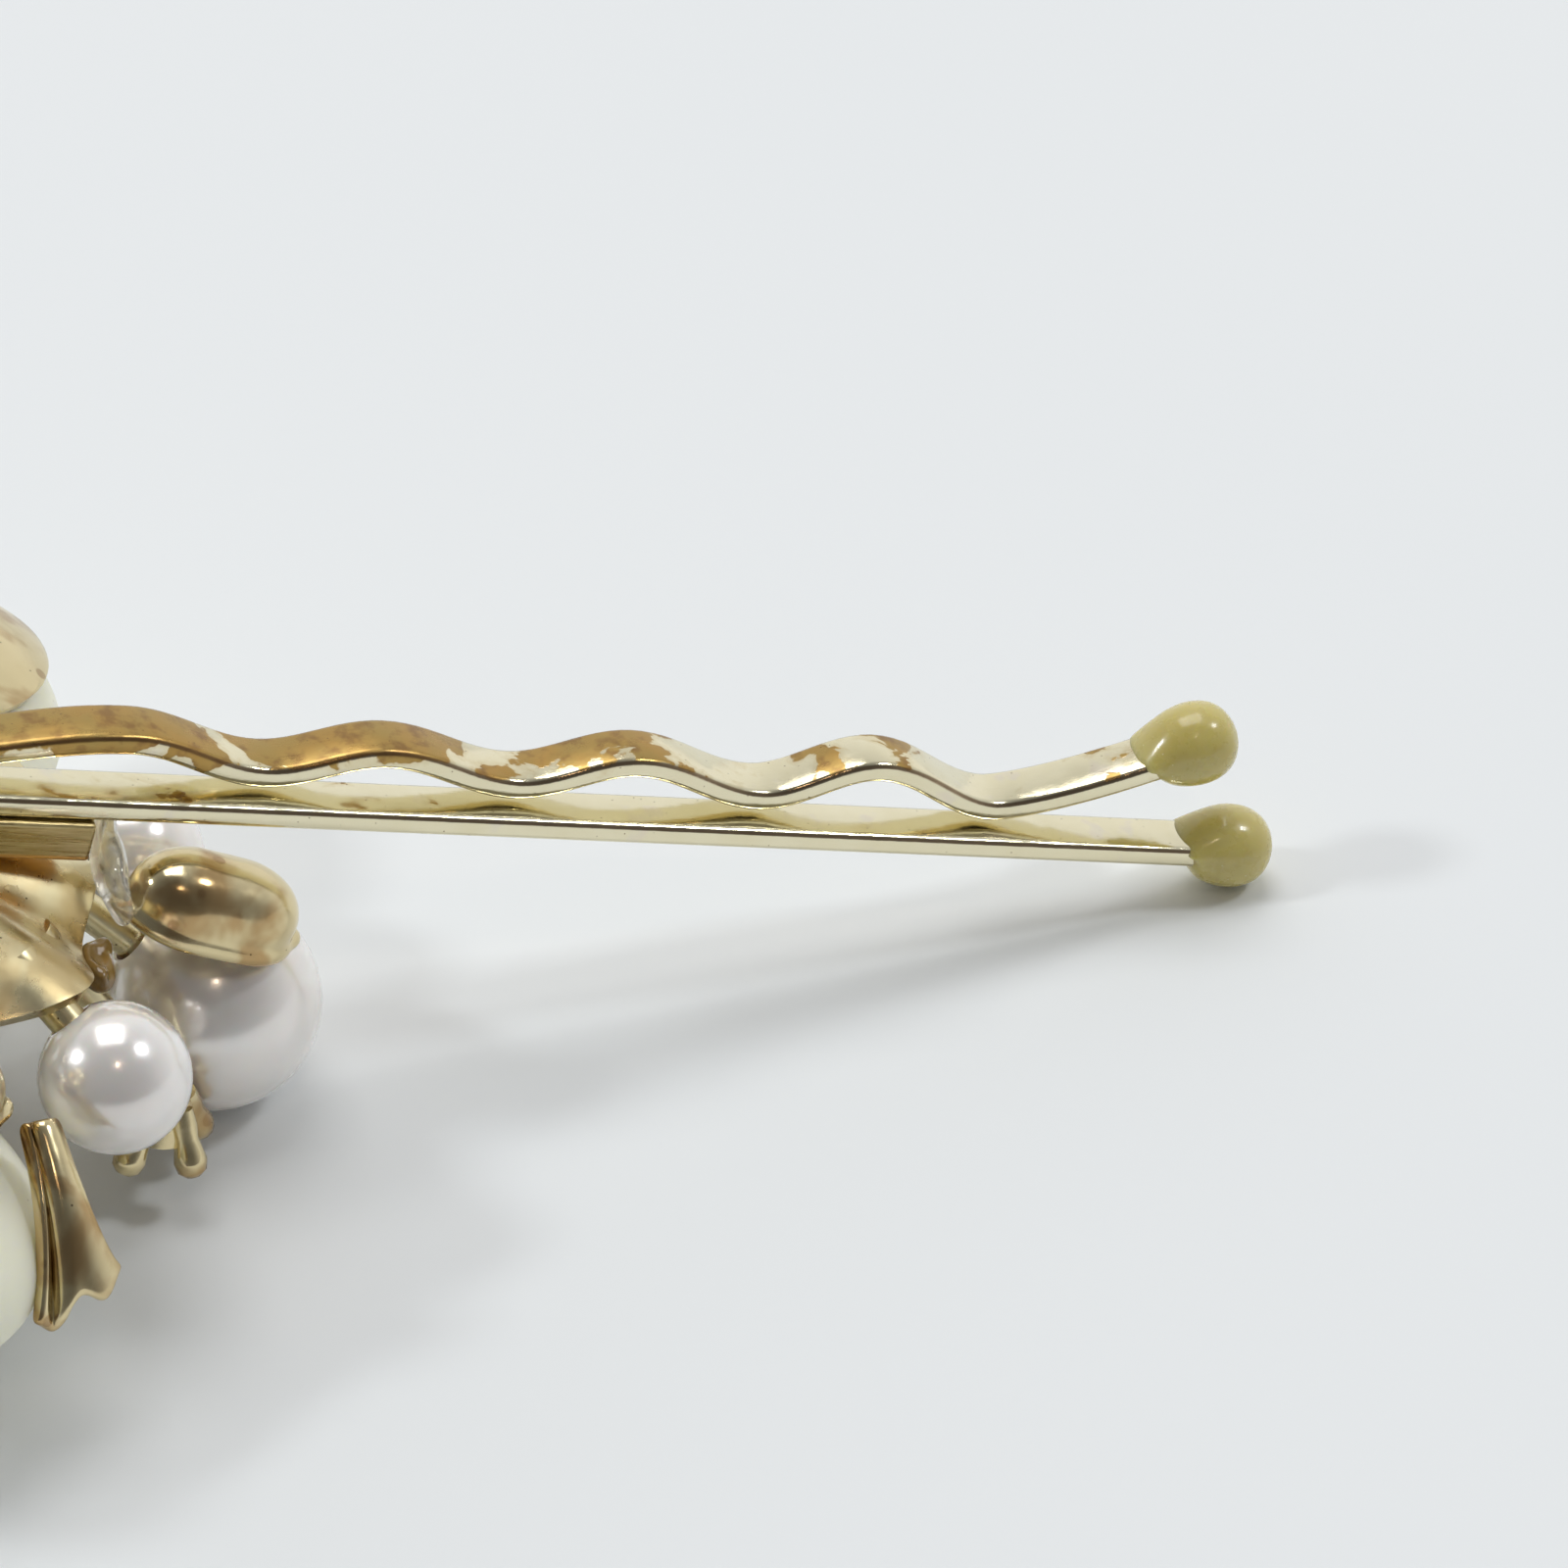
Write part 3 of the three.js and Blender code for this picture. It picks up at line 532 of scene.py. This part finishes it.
GILT_WIRE = polished_gilt()
GILT_CASTING = satin_gilt()
GILT_SHEET = polished_sheet()
BRASS = brushed_brass()
OCHRE = ochre_resin()
PEARL = pearl_lustre()
IVORY = ivory_resin()
CRYSTAL = cut_crystal()
CLEAR_GLUE = set_glue("clear_glue_film", (0.98, 0.97, 0.94), (0.93, 0.90, 0.80), 0.85)
AMBER_GLUE = set_glue("amber_glue_blob", (0.34, 0.21, 0.06), (0.16, 0.09, 0.02), 0.1)


# ---- The legs ----
def flat_wire(name, line):
    """Flat wire with rounded edges, drawn out point by point along a line of (u, v, n) places."""
    bpy.ops.mesh.primitive_plane_add(size=1)
    piece = start_shaping(name)
    widen(WIRE_THICKNESS, WIRE_WIDTH)
    bpy.ops.mesh.bevel(offset=WIRE_EDGE, segments=3, affect="VERTICES")
    bpy.ops.mesh.delete(type="ONLY_FACE")
    bpy.ops.mesh.select_all(action="SELECT")
    turn(math.pi / 2, "Y")
    points = [Vector(point) for point in line]
    lie = 0.0
    move(*points[0])
    for i, point in enumerate(points):
        before, after = points[max(i - 1, 0)], points[min(i + 1, len(points) - 1)]
        slope = math.atan2(-(after.z - before.z), after.x - before.x)
        if i:
            draw_out(*(point - points[i - 1]))
        step = (slope - lie + math.pi) % (2 * math.pi) - math.pi
        turn(step, "Y", centre=point)
        lie = slope
    bpy.ops.mesh.edge_face_add()
    pick_loose_circle()
    bpy.ops.mesh.edge_face_add()
    stop_shaping(50)
    return piece


def spread(first, last, steps, height):
    """Points from one distance along the pin to another, each at its own height."""
    return [(first + (last - first) * i / steps, HOLLOW_N + height(i / steps)) for i in range(steps)]


def ease(share):
    return (1 - math.cos(math.pi * share)) / 2


def bend_point(angle):
    return BEND_U - BEND_RADIUS * math.sin(angle), BEND_RADIUS - BEND_RADIUS * math.cos(angle)


def wavy_line():
    """The wavy leg: straight to its first hollow, four crests, then up to its tip."""
    start = bend_point(BEND_ANGLE)
    wave_start = LAST_HOLLOW_U - len(WAVE_CRESTS) * WAVE_PITCH
    crest_run = WAVE_PITCH * WAVE_CREST_LEAD
    first_hollow = wave_start + crest_run - WAVE_FIRST_RUN
    line = spread(start[0], first_hollow, 22, lambda share: (start[1] - HOLLOW_N) * (1 - share) ** 1.2)
    for i, crest in enumerate(WAVE_CRESTS):
        hollow = wave_start + i * WAVE_PITCH
        top = hollow + crest_run
        line += spread(hollow if i else first_hollow, top, 12, lambda share: crest * ease(share))
        line += spread(top, hollow + WAVE_PITCH, 12, lambda share: crest * ease(1 - share))
    line += spread(LAST_HOLLOW_U, WAVY_TIP_U, 14, lambda share: (WAVY_TIP_RISE - HOLLOW_N) * share ** 1.35)
    return [(u, SIDE_STEP, n) for u, n in line + [(WAVY_TIP_U, WAVY_TIP_RISE)]]


def legs():
    straight = flat_wire("straight_leg_wire", [(u, 0, 0) for u in (BEND_U, 12, 24, 36, 48, PIN_LENGTH - 1)])
    set_down(straight, GILT_WIRE, ["straight_leg"])
    wavy = flat_wire("wavy_leg_wire", wavy_line())
    set_down(wavy, GILT_WIRE, ["wavy_leg"], body="wavy_arm")
    around = [bend_point(BEND_ANGLE * i / 40) for i in range(41)]
    top = around[-1][1]
    bend = flat_wire("spring_bend_wire", [(u, SIDE_STEP * min(max(n / top, 0), 1), n) for u, n in around])
    set_down(bend, GILT_WIRE, ["spring_bend"], body=None)
    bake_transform(bend)


def resin_tips():
    """Dipped ends: a ball drawn back into a short neck, longer on the wire's upper face."""
    neck = [(0.5, -1.5), (0.78, -1.32), (1.0, -0.95), (1.17, -0.45), (1.22, 0.0), (1.17, 0.42), (1.0, 0.8)]
    ball = turned("straight_leg_ball", neck + [(0.7, 1.06), (0.35, 1.2), (0, 1.25)], 24)
    start_shaping("straight_leg_ball")
    pick(lambda place: place.z < -1.2 and place.x < -0.2)
    move(x=0.12, z=-0.35)
    pick(lambda place: place.z < -1.2)
    widen(0.62, 1.25, centre=(0, 0, -1.4))
    stop_shaping(80)
    round_off(ball, 2)
    for name, slope, place, body in (
        ("wavy_leg_ball", -0.4, (WAVY_TIP_U + 0.35, SIDE_STEP, WAVY_TIP_RISE + 0.15), "wavy_arm"),
        ("straight_leg_ball", 0.0, (PIN_LENGTH - TIP_RADIUS, 0, 0), "pin"),
    ):
        piece = copy_of(ball, name) if body == "wavy_arm" else ball
        where = Matrix.Translation(place) @ Matrix.Rotation(math.pi / 2 + slope, 4, "Y")
        set_down(piece, OCHRE, [name.replace("_ball", "_tip")], where, body)


# ---- The mount ----
def mount_bar():
    bpy.ops.mesh.primitive_cube_add(size=1)
    bar = start_shaping("mount_bar_strip")
    widen(BAR_LENGTH, BAR_WIDTH, BAR_BACK_N - BAR_FRONT_N)
    data = bar.data
    mesh = bmesh.from_edit_mesh(data)
    for edge in mesh.edges:
        edge.select_set(abs(edge.verts[0].co.z - edge.verts[1].co.z) > 0.5)
    bmesh.update_edit_mesh(data)
    bpy.ops.mesh.bevel(offset=0.35, segments=4)
    stop_shaping()
    finish_with(bar, "BEVEL", width=0.12, segments=3, limit_method="ANGLE")
    place = Matrix.Translation((CLUSTER_U, 0, (BAR_BACK_N + BAR_FRONT_N) / 2))
    set_down(bar, BRASS, ["mount_bar"], place)


def plate_drop(share, angle):
    """How far the plate lies in front of its middle, at a share of its reach and an angle."""
    furrow = (1 - math.cos(PLATE_LOBES * angle)) / 2
    return PLATE_DROP * share ** 3 + PLATE_FURROW * furrow * share ** 1.5


def plate_reach(angle):
    """How far the plate reaches along an angle, as a share of the oval inside it."""
    return 1 + PLATE_DIAGONAL * (1 - math.cos(4 * angle)) / 2


def back_plate():
    """The dished plate: rings widened from its middle, their furrows pressed down, then given thickness."""
    steps = 8
    sides = 8 * steps
    shares = (0.12, 0.26, 0.4, 0.54, 0.67, 0.79, 0.9, 1.0)
    bpy.ops.mesh.primitive_circle_add(vertices=sides, radius=shares[0], fill_type="TRIFAN")
    plate = start_shaping("back_plate_shell")
    pick(lambda place: place.length > shares[0] / 2)
    for share, next_share in zip(shares, shares[1:]):
        draw_out()
        widen(next_share / share, next_share / share)
    for share in shares:
        for step in range(steps + 1):
            angle = math.pi / 4 * step / steps

            def alike(place):
                around = math.atan2(place.y, place.x) % (math.pi / 2)
                flat_ring = abs(math.hypot(place.x, place.y) - share) < 0.01 and abs(place.z) < 1e-5
                return flat_ring and abs(min(around, math.pi / 2 - around) - angle) < 0.02

            pick(alike)
            scallop = PLATE_SCALLOP * share * (1 - math.cos(PLATE_LOBES * angle)) / 2
            reach = (1 - scallop) * plate_reach(angle)
            widen(reach, reach)
            move(z=-plate_drop(share, angle) - 2e-5)
    bpy.ops.mesh.select_all(action="SELECT")
    widen(PLATE_LENGTH / 2, PLATE_WIDTH / 2)
    stop_shaping(80)
    finish_with(plate, "SOLIDIFY", thickness=PLATE_THICKNESS, offset=-1)
    finish_with(plate, "BEVEL", width=0.15, segments=2, limit_method="ANGLE", angle_limit=math.radians(50))
    round_off(plate, 1)
    place = Matrix.Translation((CLUSTER_U, 0, PLATE_TOP_N))
    set_down(plate, GILT_CASTING, ["back_plate"], place)


def plate_front(u, v):
    """How high the plate's front face is at a place along and across the pin."""
    x, y = (u - CLUSTER_U) / (PLATE_LENGTH / 2), v / (PLATE_WIDTH / 2)
    angle = math.atan2(y, x)
    return PLATE_TOP_N - PLATE_THICKNESS - plate_drop(min(math.hypot(x, y) / plate_reach(angle), 1), angle)


def stem(name, foot, end, *nodes):
    """A round stem with a soldered fillet at its foot."""
    base = Vector((*foot, plate_front(*foot) + FOOT_CLEARANCE))
    along = Vector(end) - base
    length = along.length
    profile = [*FILLET, (STEM_RADIUS, 1), (STEM_RADIUS, length / 2)]
    piece = turned(name, profile + [(STEM_RADIUS, length - 0.1), (STEM_RADIUS * 0.8, length)], 16)
    set_down(piece, GILT_CASTING, nodes, aimed(base, along))


# ---- Pearls ----
def resting_n(u, radius):
    """Height of a ball's centre when it rests on the ground at a distance along the pin."""
    return (radius - TIP_RADIUS - (PIN_LENGTH - TIP_RADIUS - u) * math.sin(TILT)) / math.cos(TILT)


def drilled_pearl(name, radius):
    """A pearl with a drilled hole in its pole, its rim a little worn in."""
    rings = 22
    bore = PEARL_BORE
    start = math.asin(bore / radius) * 1.12
    angles = [start + (math.pi - start) * i / rings for i in range(rings)]
    rim = (bore * 1.02, radius * math.cos(start) - 0.03)
    profile = [(bore * 0.9, radius * 0.35), (bore, radius * 0.8), rim]
    profile += [(radius * math.sin(angle), radius * math.cos(angle)) for angle in angles]
    return turned(name, profile + [(0, -radius)], 48, 35)


LARGE_PEARLS = (
    ((27.97, -0.15, 0.1), (21.3, 1.7)),
    ((12.4, -3.2, 0), (13.2, -3.2)),
    ((12.4, 3.2, 0), (13.2, 3.2)),
    ((17.7, 0, 0.15), (17.4, 0)),
)
SMALL_PEARLS = (
    ((23.5, -6.2, -4.4), (20.9, -3.9)),
    ((26.5, 4.6, -5.4), (21.8, 3.2)),
    ((5.2, 1.2, -7.5), (10.4, 1.2)),
    ((11.6, -12, -6.3), (13.4, -5.4)),
    ((14.8, 12.8, -6.4), (14.9, 5)),
)


def pearls():
    large = [((u, v, resting_n(u, LARGE_PEARL_RADIUS) + lift), foot) for (u, v, lift), foot in LARGE_PEARLS]
    for kind, radius, places in (
        ("large", LARGE_PEARL_RADIUS, large),
        ("small", SMALL_PEARL_RADIUS, SMALL_PEARLS),
    ):
        pattern = drilled_pearl(f"{kind}_pearl_pattern", radius)
        for i, (centre, foot) in enumerate(places, 1):
            base = Vector((*foot, plate_front(*foot) + 0.3))
            pearl = copy_of(pattern, f"{kind}_pearl_bead_{i}")
            towards_stem = base - Vector(centre)
            set_down(pearl, PEARL, [f"{kind}_pearl_{i}"], aimed(centre, towards_stem))
            end = Vector(centre) + towards_stem.normalized() * radius * 0.4
            stem(f"{kind}_pearl_post_{i}", foot, end, f"{kind}_pearl_stem_{i}")
        bpy.data.objects.remove(pattern)


# ---- Petals, their backs and the leaves ----
PETALS = (
    ((17.3, -8.2, -7.5), -80, 0.55, 0),
    ((21.05, 10.3, -5.5), 62, 0.72, 0.8),
    ((8.8, 8.5, -7.6), 128, 0.72, 0.4),
    ((5.8, -5.9, -8), -148, 0.72, 0.4),
)


def petal_body(name):
    """A plump ivory petal, its front pressed into a shallow groove."""
    bpy.ops.mesh.primitive_uv_sphere_add(segments=32, ring_count=18, radius=0.5)
    petal = start_shaping(name)
    widen(*PETAL_SIZE)
    pick(lambda place: place.z < -0.6 and abs(place.y) < 0.7 and abs(place.x) < 3.8)
    move(z=0.35)
    stop_shaping(80)
    round_off(petal, 1)
    return petal


def petal_shell(name, petal, cover, shift):
    """A gilt pressing laid over the back of a petal, creased along its middle."""
    rings = (0.2, 0.4, 0.6, 0.8, 0.93, 1.0)
    bpy.ops.mesh.primitive_circle_add(vertices=32, radius=rings[0], fill_type="TRIFAN")
    shell = start_shaping(name)
    pick(lambda place: place.length > rings[0] / 2)
    for ring, next_ring in zip(rings, rings[1:]):
        draw_out()
        widen(next_ring / ring, next_ring / ring)
    bpy.ops.mesh.select_all(action="SELECT")
    widen(cover * PETAL_SIZE[0] / 2, cover * PETAL_SIZE[1] / 2)
    move(x=shift, z=5)
    stop_shaping(80)
    round_off(shell, 1)
    finish_with(
        shell, "SHRINKWRAP", target=petal, wrap_method="PROJECT", use_project_z=True,
        use_negative_direction=True, use_positive_direction=False, offset=0.1,
    )
    start_shaping(name)
    pick(lambda place: abs(place.y) < 0.12 and abs(place.x - shift) < cover * PETAL_SIZE[0] / 2 * 0.86)
    move(z=-SHELL_CREASE)
    stop_shaping(80)
    finish_with(shell, "SOLIDIFY", thickness=SHELL_THICKNESS, offset=1)
    finish_with(shell, "BEVEL", width=0.12, segments=2, limit_method="ANGLE", angle_limit=math.radians(50))
    return shell


def leaf_height(side):
    """The leaf's section: a thin lip, a deep channel, a crest and a wide convex flank."""
    channel = 0.5 * math.exp(-((side + 0.58) / 0.2) ** 2)
    return 0.12 * math.cos(1.6 * (side - 0.1)) - channel - 0.3 * max(side - 0.2, 0) ** 2


def leaf_pattern():
    """A leaf with a foot-to-end length of one: narrow foot, channelled blade, two rounded lobes."""
    rows, columns = 10, 12
    bpy.ops.mesh.primitive_grid_add(x_subdivisions=rows, y_subdivisions=columns, size=2)
    leaf = start_shaping("leaf_pattern")
    widen(0.5, 1)
    move(x=0.5)
    for row in range(rows + 1):
        share = row / rows
        half_width = 0.42 + 0.88 * share ** 1.8
        bow = 0.3 * math.sin(math.pi * share)
        for column in range(columns + 1):
            side = column / columns * 2 - 1
            pick(lambda place: abs(place.x - share) < 0.01 and abs(place.y - side) < 0.01 and place.z == 0)
            move(z=bow + leaf_height(side) + 1e-4)
            pick(lambda place: abs(place.x - share) < 0.01 and abs(place.y - side) < 0.01)
            notch = 0.055 * share ** 5 * (1 + math.cos(2 * math.pi * side)) + 0.1 * side * share ** 3
            move(x=-notch, y=side * (half_width - 1) + 0.1 * share + 10)
    bpy.ops.mesh.select_all(action="SELECT")
    move(y=-10)
    stop_shaping(80)
    return leaf


LEAVES = (
    ((21, -8.3, -4.1), (22.05, -11.85, -7.6), (0.03, -0.73, 0.68)),
    ((14.9, 10.6, -3.8), (14.4, 15.6, -4.6), (0, 0, 1)),
    ((3.9, 4.3, -5.2), (0.6, 6.6, -7), (-0.3, 0, 1)),
    ((11.2, -8, -4.2), (8, -12.4, -5.6), (0, -0.4, 1)),
)
LEAF_POSTS = {2: (15.4, 4.8), 3: (10.2, 2.6), 4: (12.2, -4.6)}


def petals_and_leaves():
    body = petal_body("petal_pattern")
    for i, (centre, turned_by, cover, shift) in enumerate(PETALS, 1):
        where = Matrix.Translation(centre) @ Matrix.Rotation(math.radians(turned_by), 4, "Z")
        shell = petal_shell(f"petal_back_shell_{i}", body, cover, shift)
        set_down(shell, GILT_SHEET, [f"petal_back_{i}"], where)
        petal = copy_of(body, f"ivory_petal_bead_{i}")
        set_down(petal, IVORY, [f"ivory_petal_{i}"], where)
    bpy.data.objects.remove(body)
    pattern = leaf_pattern()
    for i, (foot, end, outwards) in enumerate(LEAVES, 1):
        foot, end, outwards = Vector(foot), Vector(end), Vector(outwards)
        leaf = copy_of(pattern, f"flared_leaf_blade_{i}")
        start_shaping(leaf.name)
        widen((end - foot).length, 1)
        stop_shaping(80)
        finish_with(leaf, "SOLIDIFY", thickness=LEAF_THICKNESS, offset=0)
        round_off(leaf, 2)
        along = (end - foot).normalized()
        across = outwards.cross(along).normalized()
        where = Matrix((along, across, along.cross(across))).transposed().to_4x4()
        set_down(leaf, GILT_SHEET, [f"flared_leaf_{i}"], Matrix.Translation(foot) @ where)
        if i in LEAF_POSTS:
            stem(f"flared_leaf_post_{i}", LEAF_POSTS[i], foot + along * 0.6)
    bpy.data.objects.remove(pattern)


# ---- Capsules and claw settings ----
CAPSULES = (
    ((26.82, -1.17, -2.75), 0, 12.6),
    ((17.5, -8.25, -3.35), 0, 4),
    ((5.6, 1.3, -3), 180, 12.6),
    ((12.3, 8.3, -3.4), 180, 4),
)


def capsules():
    """Oblong domes with a rolled lip and a small nib at one end, closed in front by a low panel."""
    panel = [(0.7, -0.3), (1.1, -0.36), (1.28, -0.54)]
    lip = [(1.42, -0.58), (1.52, -0.46), (CAPSULE_LIP, -0.28), (1.48, -0.12), (1.41, -0.04)]
    dome = [(1.42, 0.25), (1.38, 0.55), (1.26, 0.88), (1.05, 1.18), (0.74, 1.4), (0.38, 1.52), (0, 1.55)]
    pattern = turned("capsule_pattern", panel + lip + dome, 40, 50, oblong=CAPSULE_STRETCH)
    start_shaping(pattern.name)
    widen(CAPSULE_REACH / (CAPSULE_LIP + CAPSULE_STRETCH), 1)
    pick(lambda place: place.x > 0.93 * CAPSULE_REACH and abs(place.y) < 0.3 and -0.5 < place.z < 0.1)
    move(x=0.22, z=0.08)
    stop_shaping(50)
    round_off(pattern, 1)
    for i, (centre, turned_by, pitch) in enumerate(CAPSULES, 1):
        capsule = copy_of(pattern, f"capsule_dome_{i}")
        heading = Matrix.Rotation(math.radians(turned_by), 4, "Z")
        around = heading @ Matrix.Rotation(math.radians(pitch), 4, "Y")
        where = Matrix.Translation(centre) @ around
        set_down(capsule, GILT_SHEET, [f"capsule_{i}"], where)
    bpy.data.objects.remove(pattern)


CLAW_SETTINGS = (
    ((25.9, -3.65, -7), (21.8, -2.2)),
    ((21.3, 4.7, -7.7), (18.5, 3)),
    ((8, 1.1, -9.6), (12.2, 0.2)),
)


def claw_cup():
    """A small cup with thick claws that lean out around its mouth."""
    inside = [(0.25, 0.25), (0.55, 0.3), (0.92, 0.95), (1.05, 1.05)]
    outside = [(1.15, 0.98), (0.98, 0.5), (0.8, 0.1), (0.6, 0)]
    pieces = [turned("claw_cup_pattern", inside + outside, 20, 50)]
    shank = [(0.34, 0), (0.38, 0.45), (0.34, 0.8), (0.4, 1.15)]
    claw = turned("claw", shank + [(0.46, 1.42), (0.4, 1.7), (0.22, 1.86), (0, 1.9)], 12)
    for i in range(CLAW_COUNT):
        piece = copy_of(claw, f"claw_{i}")
        around = Matrix.Rotation(FIRST_CLAW + 2 * math.pi * i / CLAW_COUNT, 4, "Z")
        lean = Matrix.Rotation(CLAW_LEAN, 4, "Y")
        piece.matrix_world = around @ Matrix.Translation((0.68, 0, 0.1)) @ lean
        select_only(piece)
        bpy.ops.object.transform_apply(location=True, rotation=True, scale=True)
        pieces.append(piece)
    bpy.data.objects.remove(claw)
    return join_all(pieces, "claw_cup_pattern")


def claw_settings():
    cup_pattern = claw_cup()
    cut = ((0.3, 0.1), (1, 0.6), (1, 0.76), (0.6, 1.15))
    outline = [(radius * CRYSTAL_RADIUS, height * CRYSTAL_RADIUS) for radius, height in cut]
    crystal_pattern = turned("crystal_pattern", outline, 8, 5)
    face_down = Matrix.Rotation(math.pi, 4, "X")
    for i, (back, foot) in enumerate(CLAW_SETTINGS, 1):
        cup = copy_of(cup_pattern, f"claw_setting_{i}")
        set_down(cup, GILT_SHEET, [f"claw_cup_{i}"], Matrix.Translation(back) @ face_down)
        crystal = copy_of(crystal_pattern, f"cut_crystal_{i}")
        seat = Vector(back) - Vector((0, 0, CRYSTAL_SINK))
        set_down(crystal, CRYSTAL, [f"crystal_{i}"], Matrix.Translation(seat) @ face_down)
        stem(f"claw_post_{i}", foot, Vector(back) + Vector((0, 0, 0.25)), f"claw_stem_{i}")
    bpy.data.objects.remove(cup_pattern)
    bpy.data.objects.remove(crystal_pattern)


# ---- Glue at the end of the bar ----
def glue_drop(name, centre, size, dents, material, node):
    """A set drop of glue: a ball whose sides are pulled out or in, then stretched to size."""
    bpy.ops.mesh.primitive_uv_sphere_add(segments=20, ring_count=12, radius=1)
    drop = start_shaping(name)
    for side, reach, pull in dents:
        middle = Vector(side)
        pick(lambda place: (place - middle).length < reach)
        move(*pull)
    bpy.ops.mesh.select_all(action="SELECT")
    widen(*size)
    stop_shaping(80)
    round_off(drop, 2)
    set_down(drop, material, [node], Matrix.Translation(centre))


def glue():
    glue_drop(
        "clear_glue_film_drop", (24.0, -0.5, -1.85), (0.42, 1.5, 0.85),
        [((0, 1, 0.3), 0.8, (0, 0.05, 0.5)), ((0, -1, -0.3), 0.8, (0.9, 0, -0.75)),
         ((0.8, 0, 0), 0.5, (-0.25, 0, 0))],
        CLEAR_GLUE, "clear_glue",
    )
    glue_drop(
        "amber_glue_drop", (23.55, -2.75, -3.55), (0.5, 0.95, 0.45),
        [((0.5, 0.8, 0.3), 0.5, (0.3, 0.1, 0.4)), ((-0.3, -0.6, 0.6), 0.45, (0, -0.2, 0.35)),
         ((0, 0, 1), 0.4, (0, 0, -0.4))],
        AMBER_GLUE, "amber_glue",
    )


legs()
resin_tips()
mount_bar()
back_plate()
pearls()
petals_and_leaves()
capsules()
claw_settings()
glue()

for material_slot in frame["nodes"]["front_tier"].material_slots:
    material_slot.material = GILT_CASTING


# ---- The room ----
CAMERA_FROM_BEND = Vector((0.0046, -0.113665, 0.084632))
CAMERA_TURN = (math.radians(51), 0, math.radians(-17.1))
CAMERA_LENS = 128.25
CAMERA_SENSOR = 36
CAMERA_NEAREST = 0.01
LIT_PLACE = Vector((-0.01, 0, 0.008))


def camera():
    """Looks down on the pin from in front, turned a little to the right; its place counts from the bend."""
    bpy.ops.object.camera_add(location=Vector(joint["pos_m"]) + CAMERA_FROM_BEND, rotation=CAMERA_TURN)
    view = bpy.context.active_object
    view.data.sensor_width = CAMERA_SENSOR
    view.data.lens = CAMERA_LENS
    view.data.clip_start = CAMERA_NEAREST
    bpy.context.scene.camera = view


def floor():
    bpy.ops.mesh.primitive_plane_add(size=6)
    ground = bpy.context.active_object
    ground.name = "pale_floor"
    paper = Finish("pale_floor_paper", specular_ior_level=0.2)
    paper.colour(paper.blend(paper.noise(0.02, 2), (0.83, 0.85, 0.86), (0.85, 0.865, 0.87)))
    paper.roughness(0.7)
    ground.data.materials.append(paper.material)


def soft_light(name, towards, distance, size, power, colour=(1, 1, 1)):
    """A square soft light that shines on the ornament from a direction."""
    towards = Vector(towards).normalized()
    place = LIT_PLACE + towards * distance
    bpy.ops.object.light_add(type="AREA", location=place)
    light = bpy.context.active_object
    light.name = name
    light.rotation_euler = towards.to_track_quat("Z", "Y").to_euler()
    light.data.size = size
    light.data.energy = power
    light.data.color = colour


def room():
    """A pale room, darker on the near side, with a large soft light above and two small windows."""
    world = bpy.data.worlds.new("pale_room")
    world.use_nodes = True
    nodes, links = world.node_tree.nodes, world.node_tree.links
    place = nodes.new("ShaderNodeTexCoord")
    towards = nodes.new("ShaderNodeVectorMath")
    towards.operation = "DOT_PRODUCT"
    towards.inputs[1].default_value = (-0.228, -0.743, 0.629)
    links.new(place.outputs["Generated"], towards.inputs[0])
    dim = nodes.new("ShaderNodeMapRange")
    dim.interpolation_type = "SMOOTHSTEP"
    for socket, number in zip(RANGE_ENDS, (-0.7, 1, 0.98, 0.14)):
        dim.inputs[socket].default_value = number
    links.new(towards.outputs["Value"], dim.inputs["Value"])
    nodes["Background"].inputs["Color"].default_value = (0.93, 0.94, 0.95, 1)
    links.new(dim.outputs["Result"], nodes["Background"].inputs["Strength"])
    bpy.context.scene.world = world
    soft_light("overhead_softbox", (0.05, 0.35, 1), 0.9, 0.5, 2.7)
    soft_light("left_window", (-0.746, 0.145, 0.651), 0.7, 0.09, 1.0, (0.93, 0.97, 1))
    soft_light("right_window", (0.64, -0.106, 0.76), 0.7, 0.1, 0.9, (0.93, 0.97, 1))
    soft_light("near_lamp", (0.037, -0.516, 0.854), 0.7, 0.05, 0.12, (1, 0.8, 0.6))


camera()
floor()
room()
bpy.context.scene.view_settings.view_transform = "Standard"
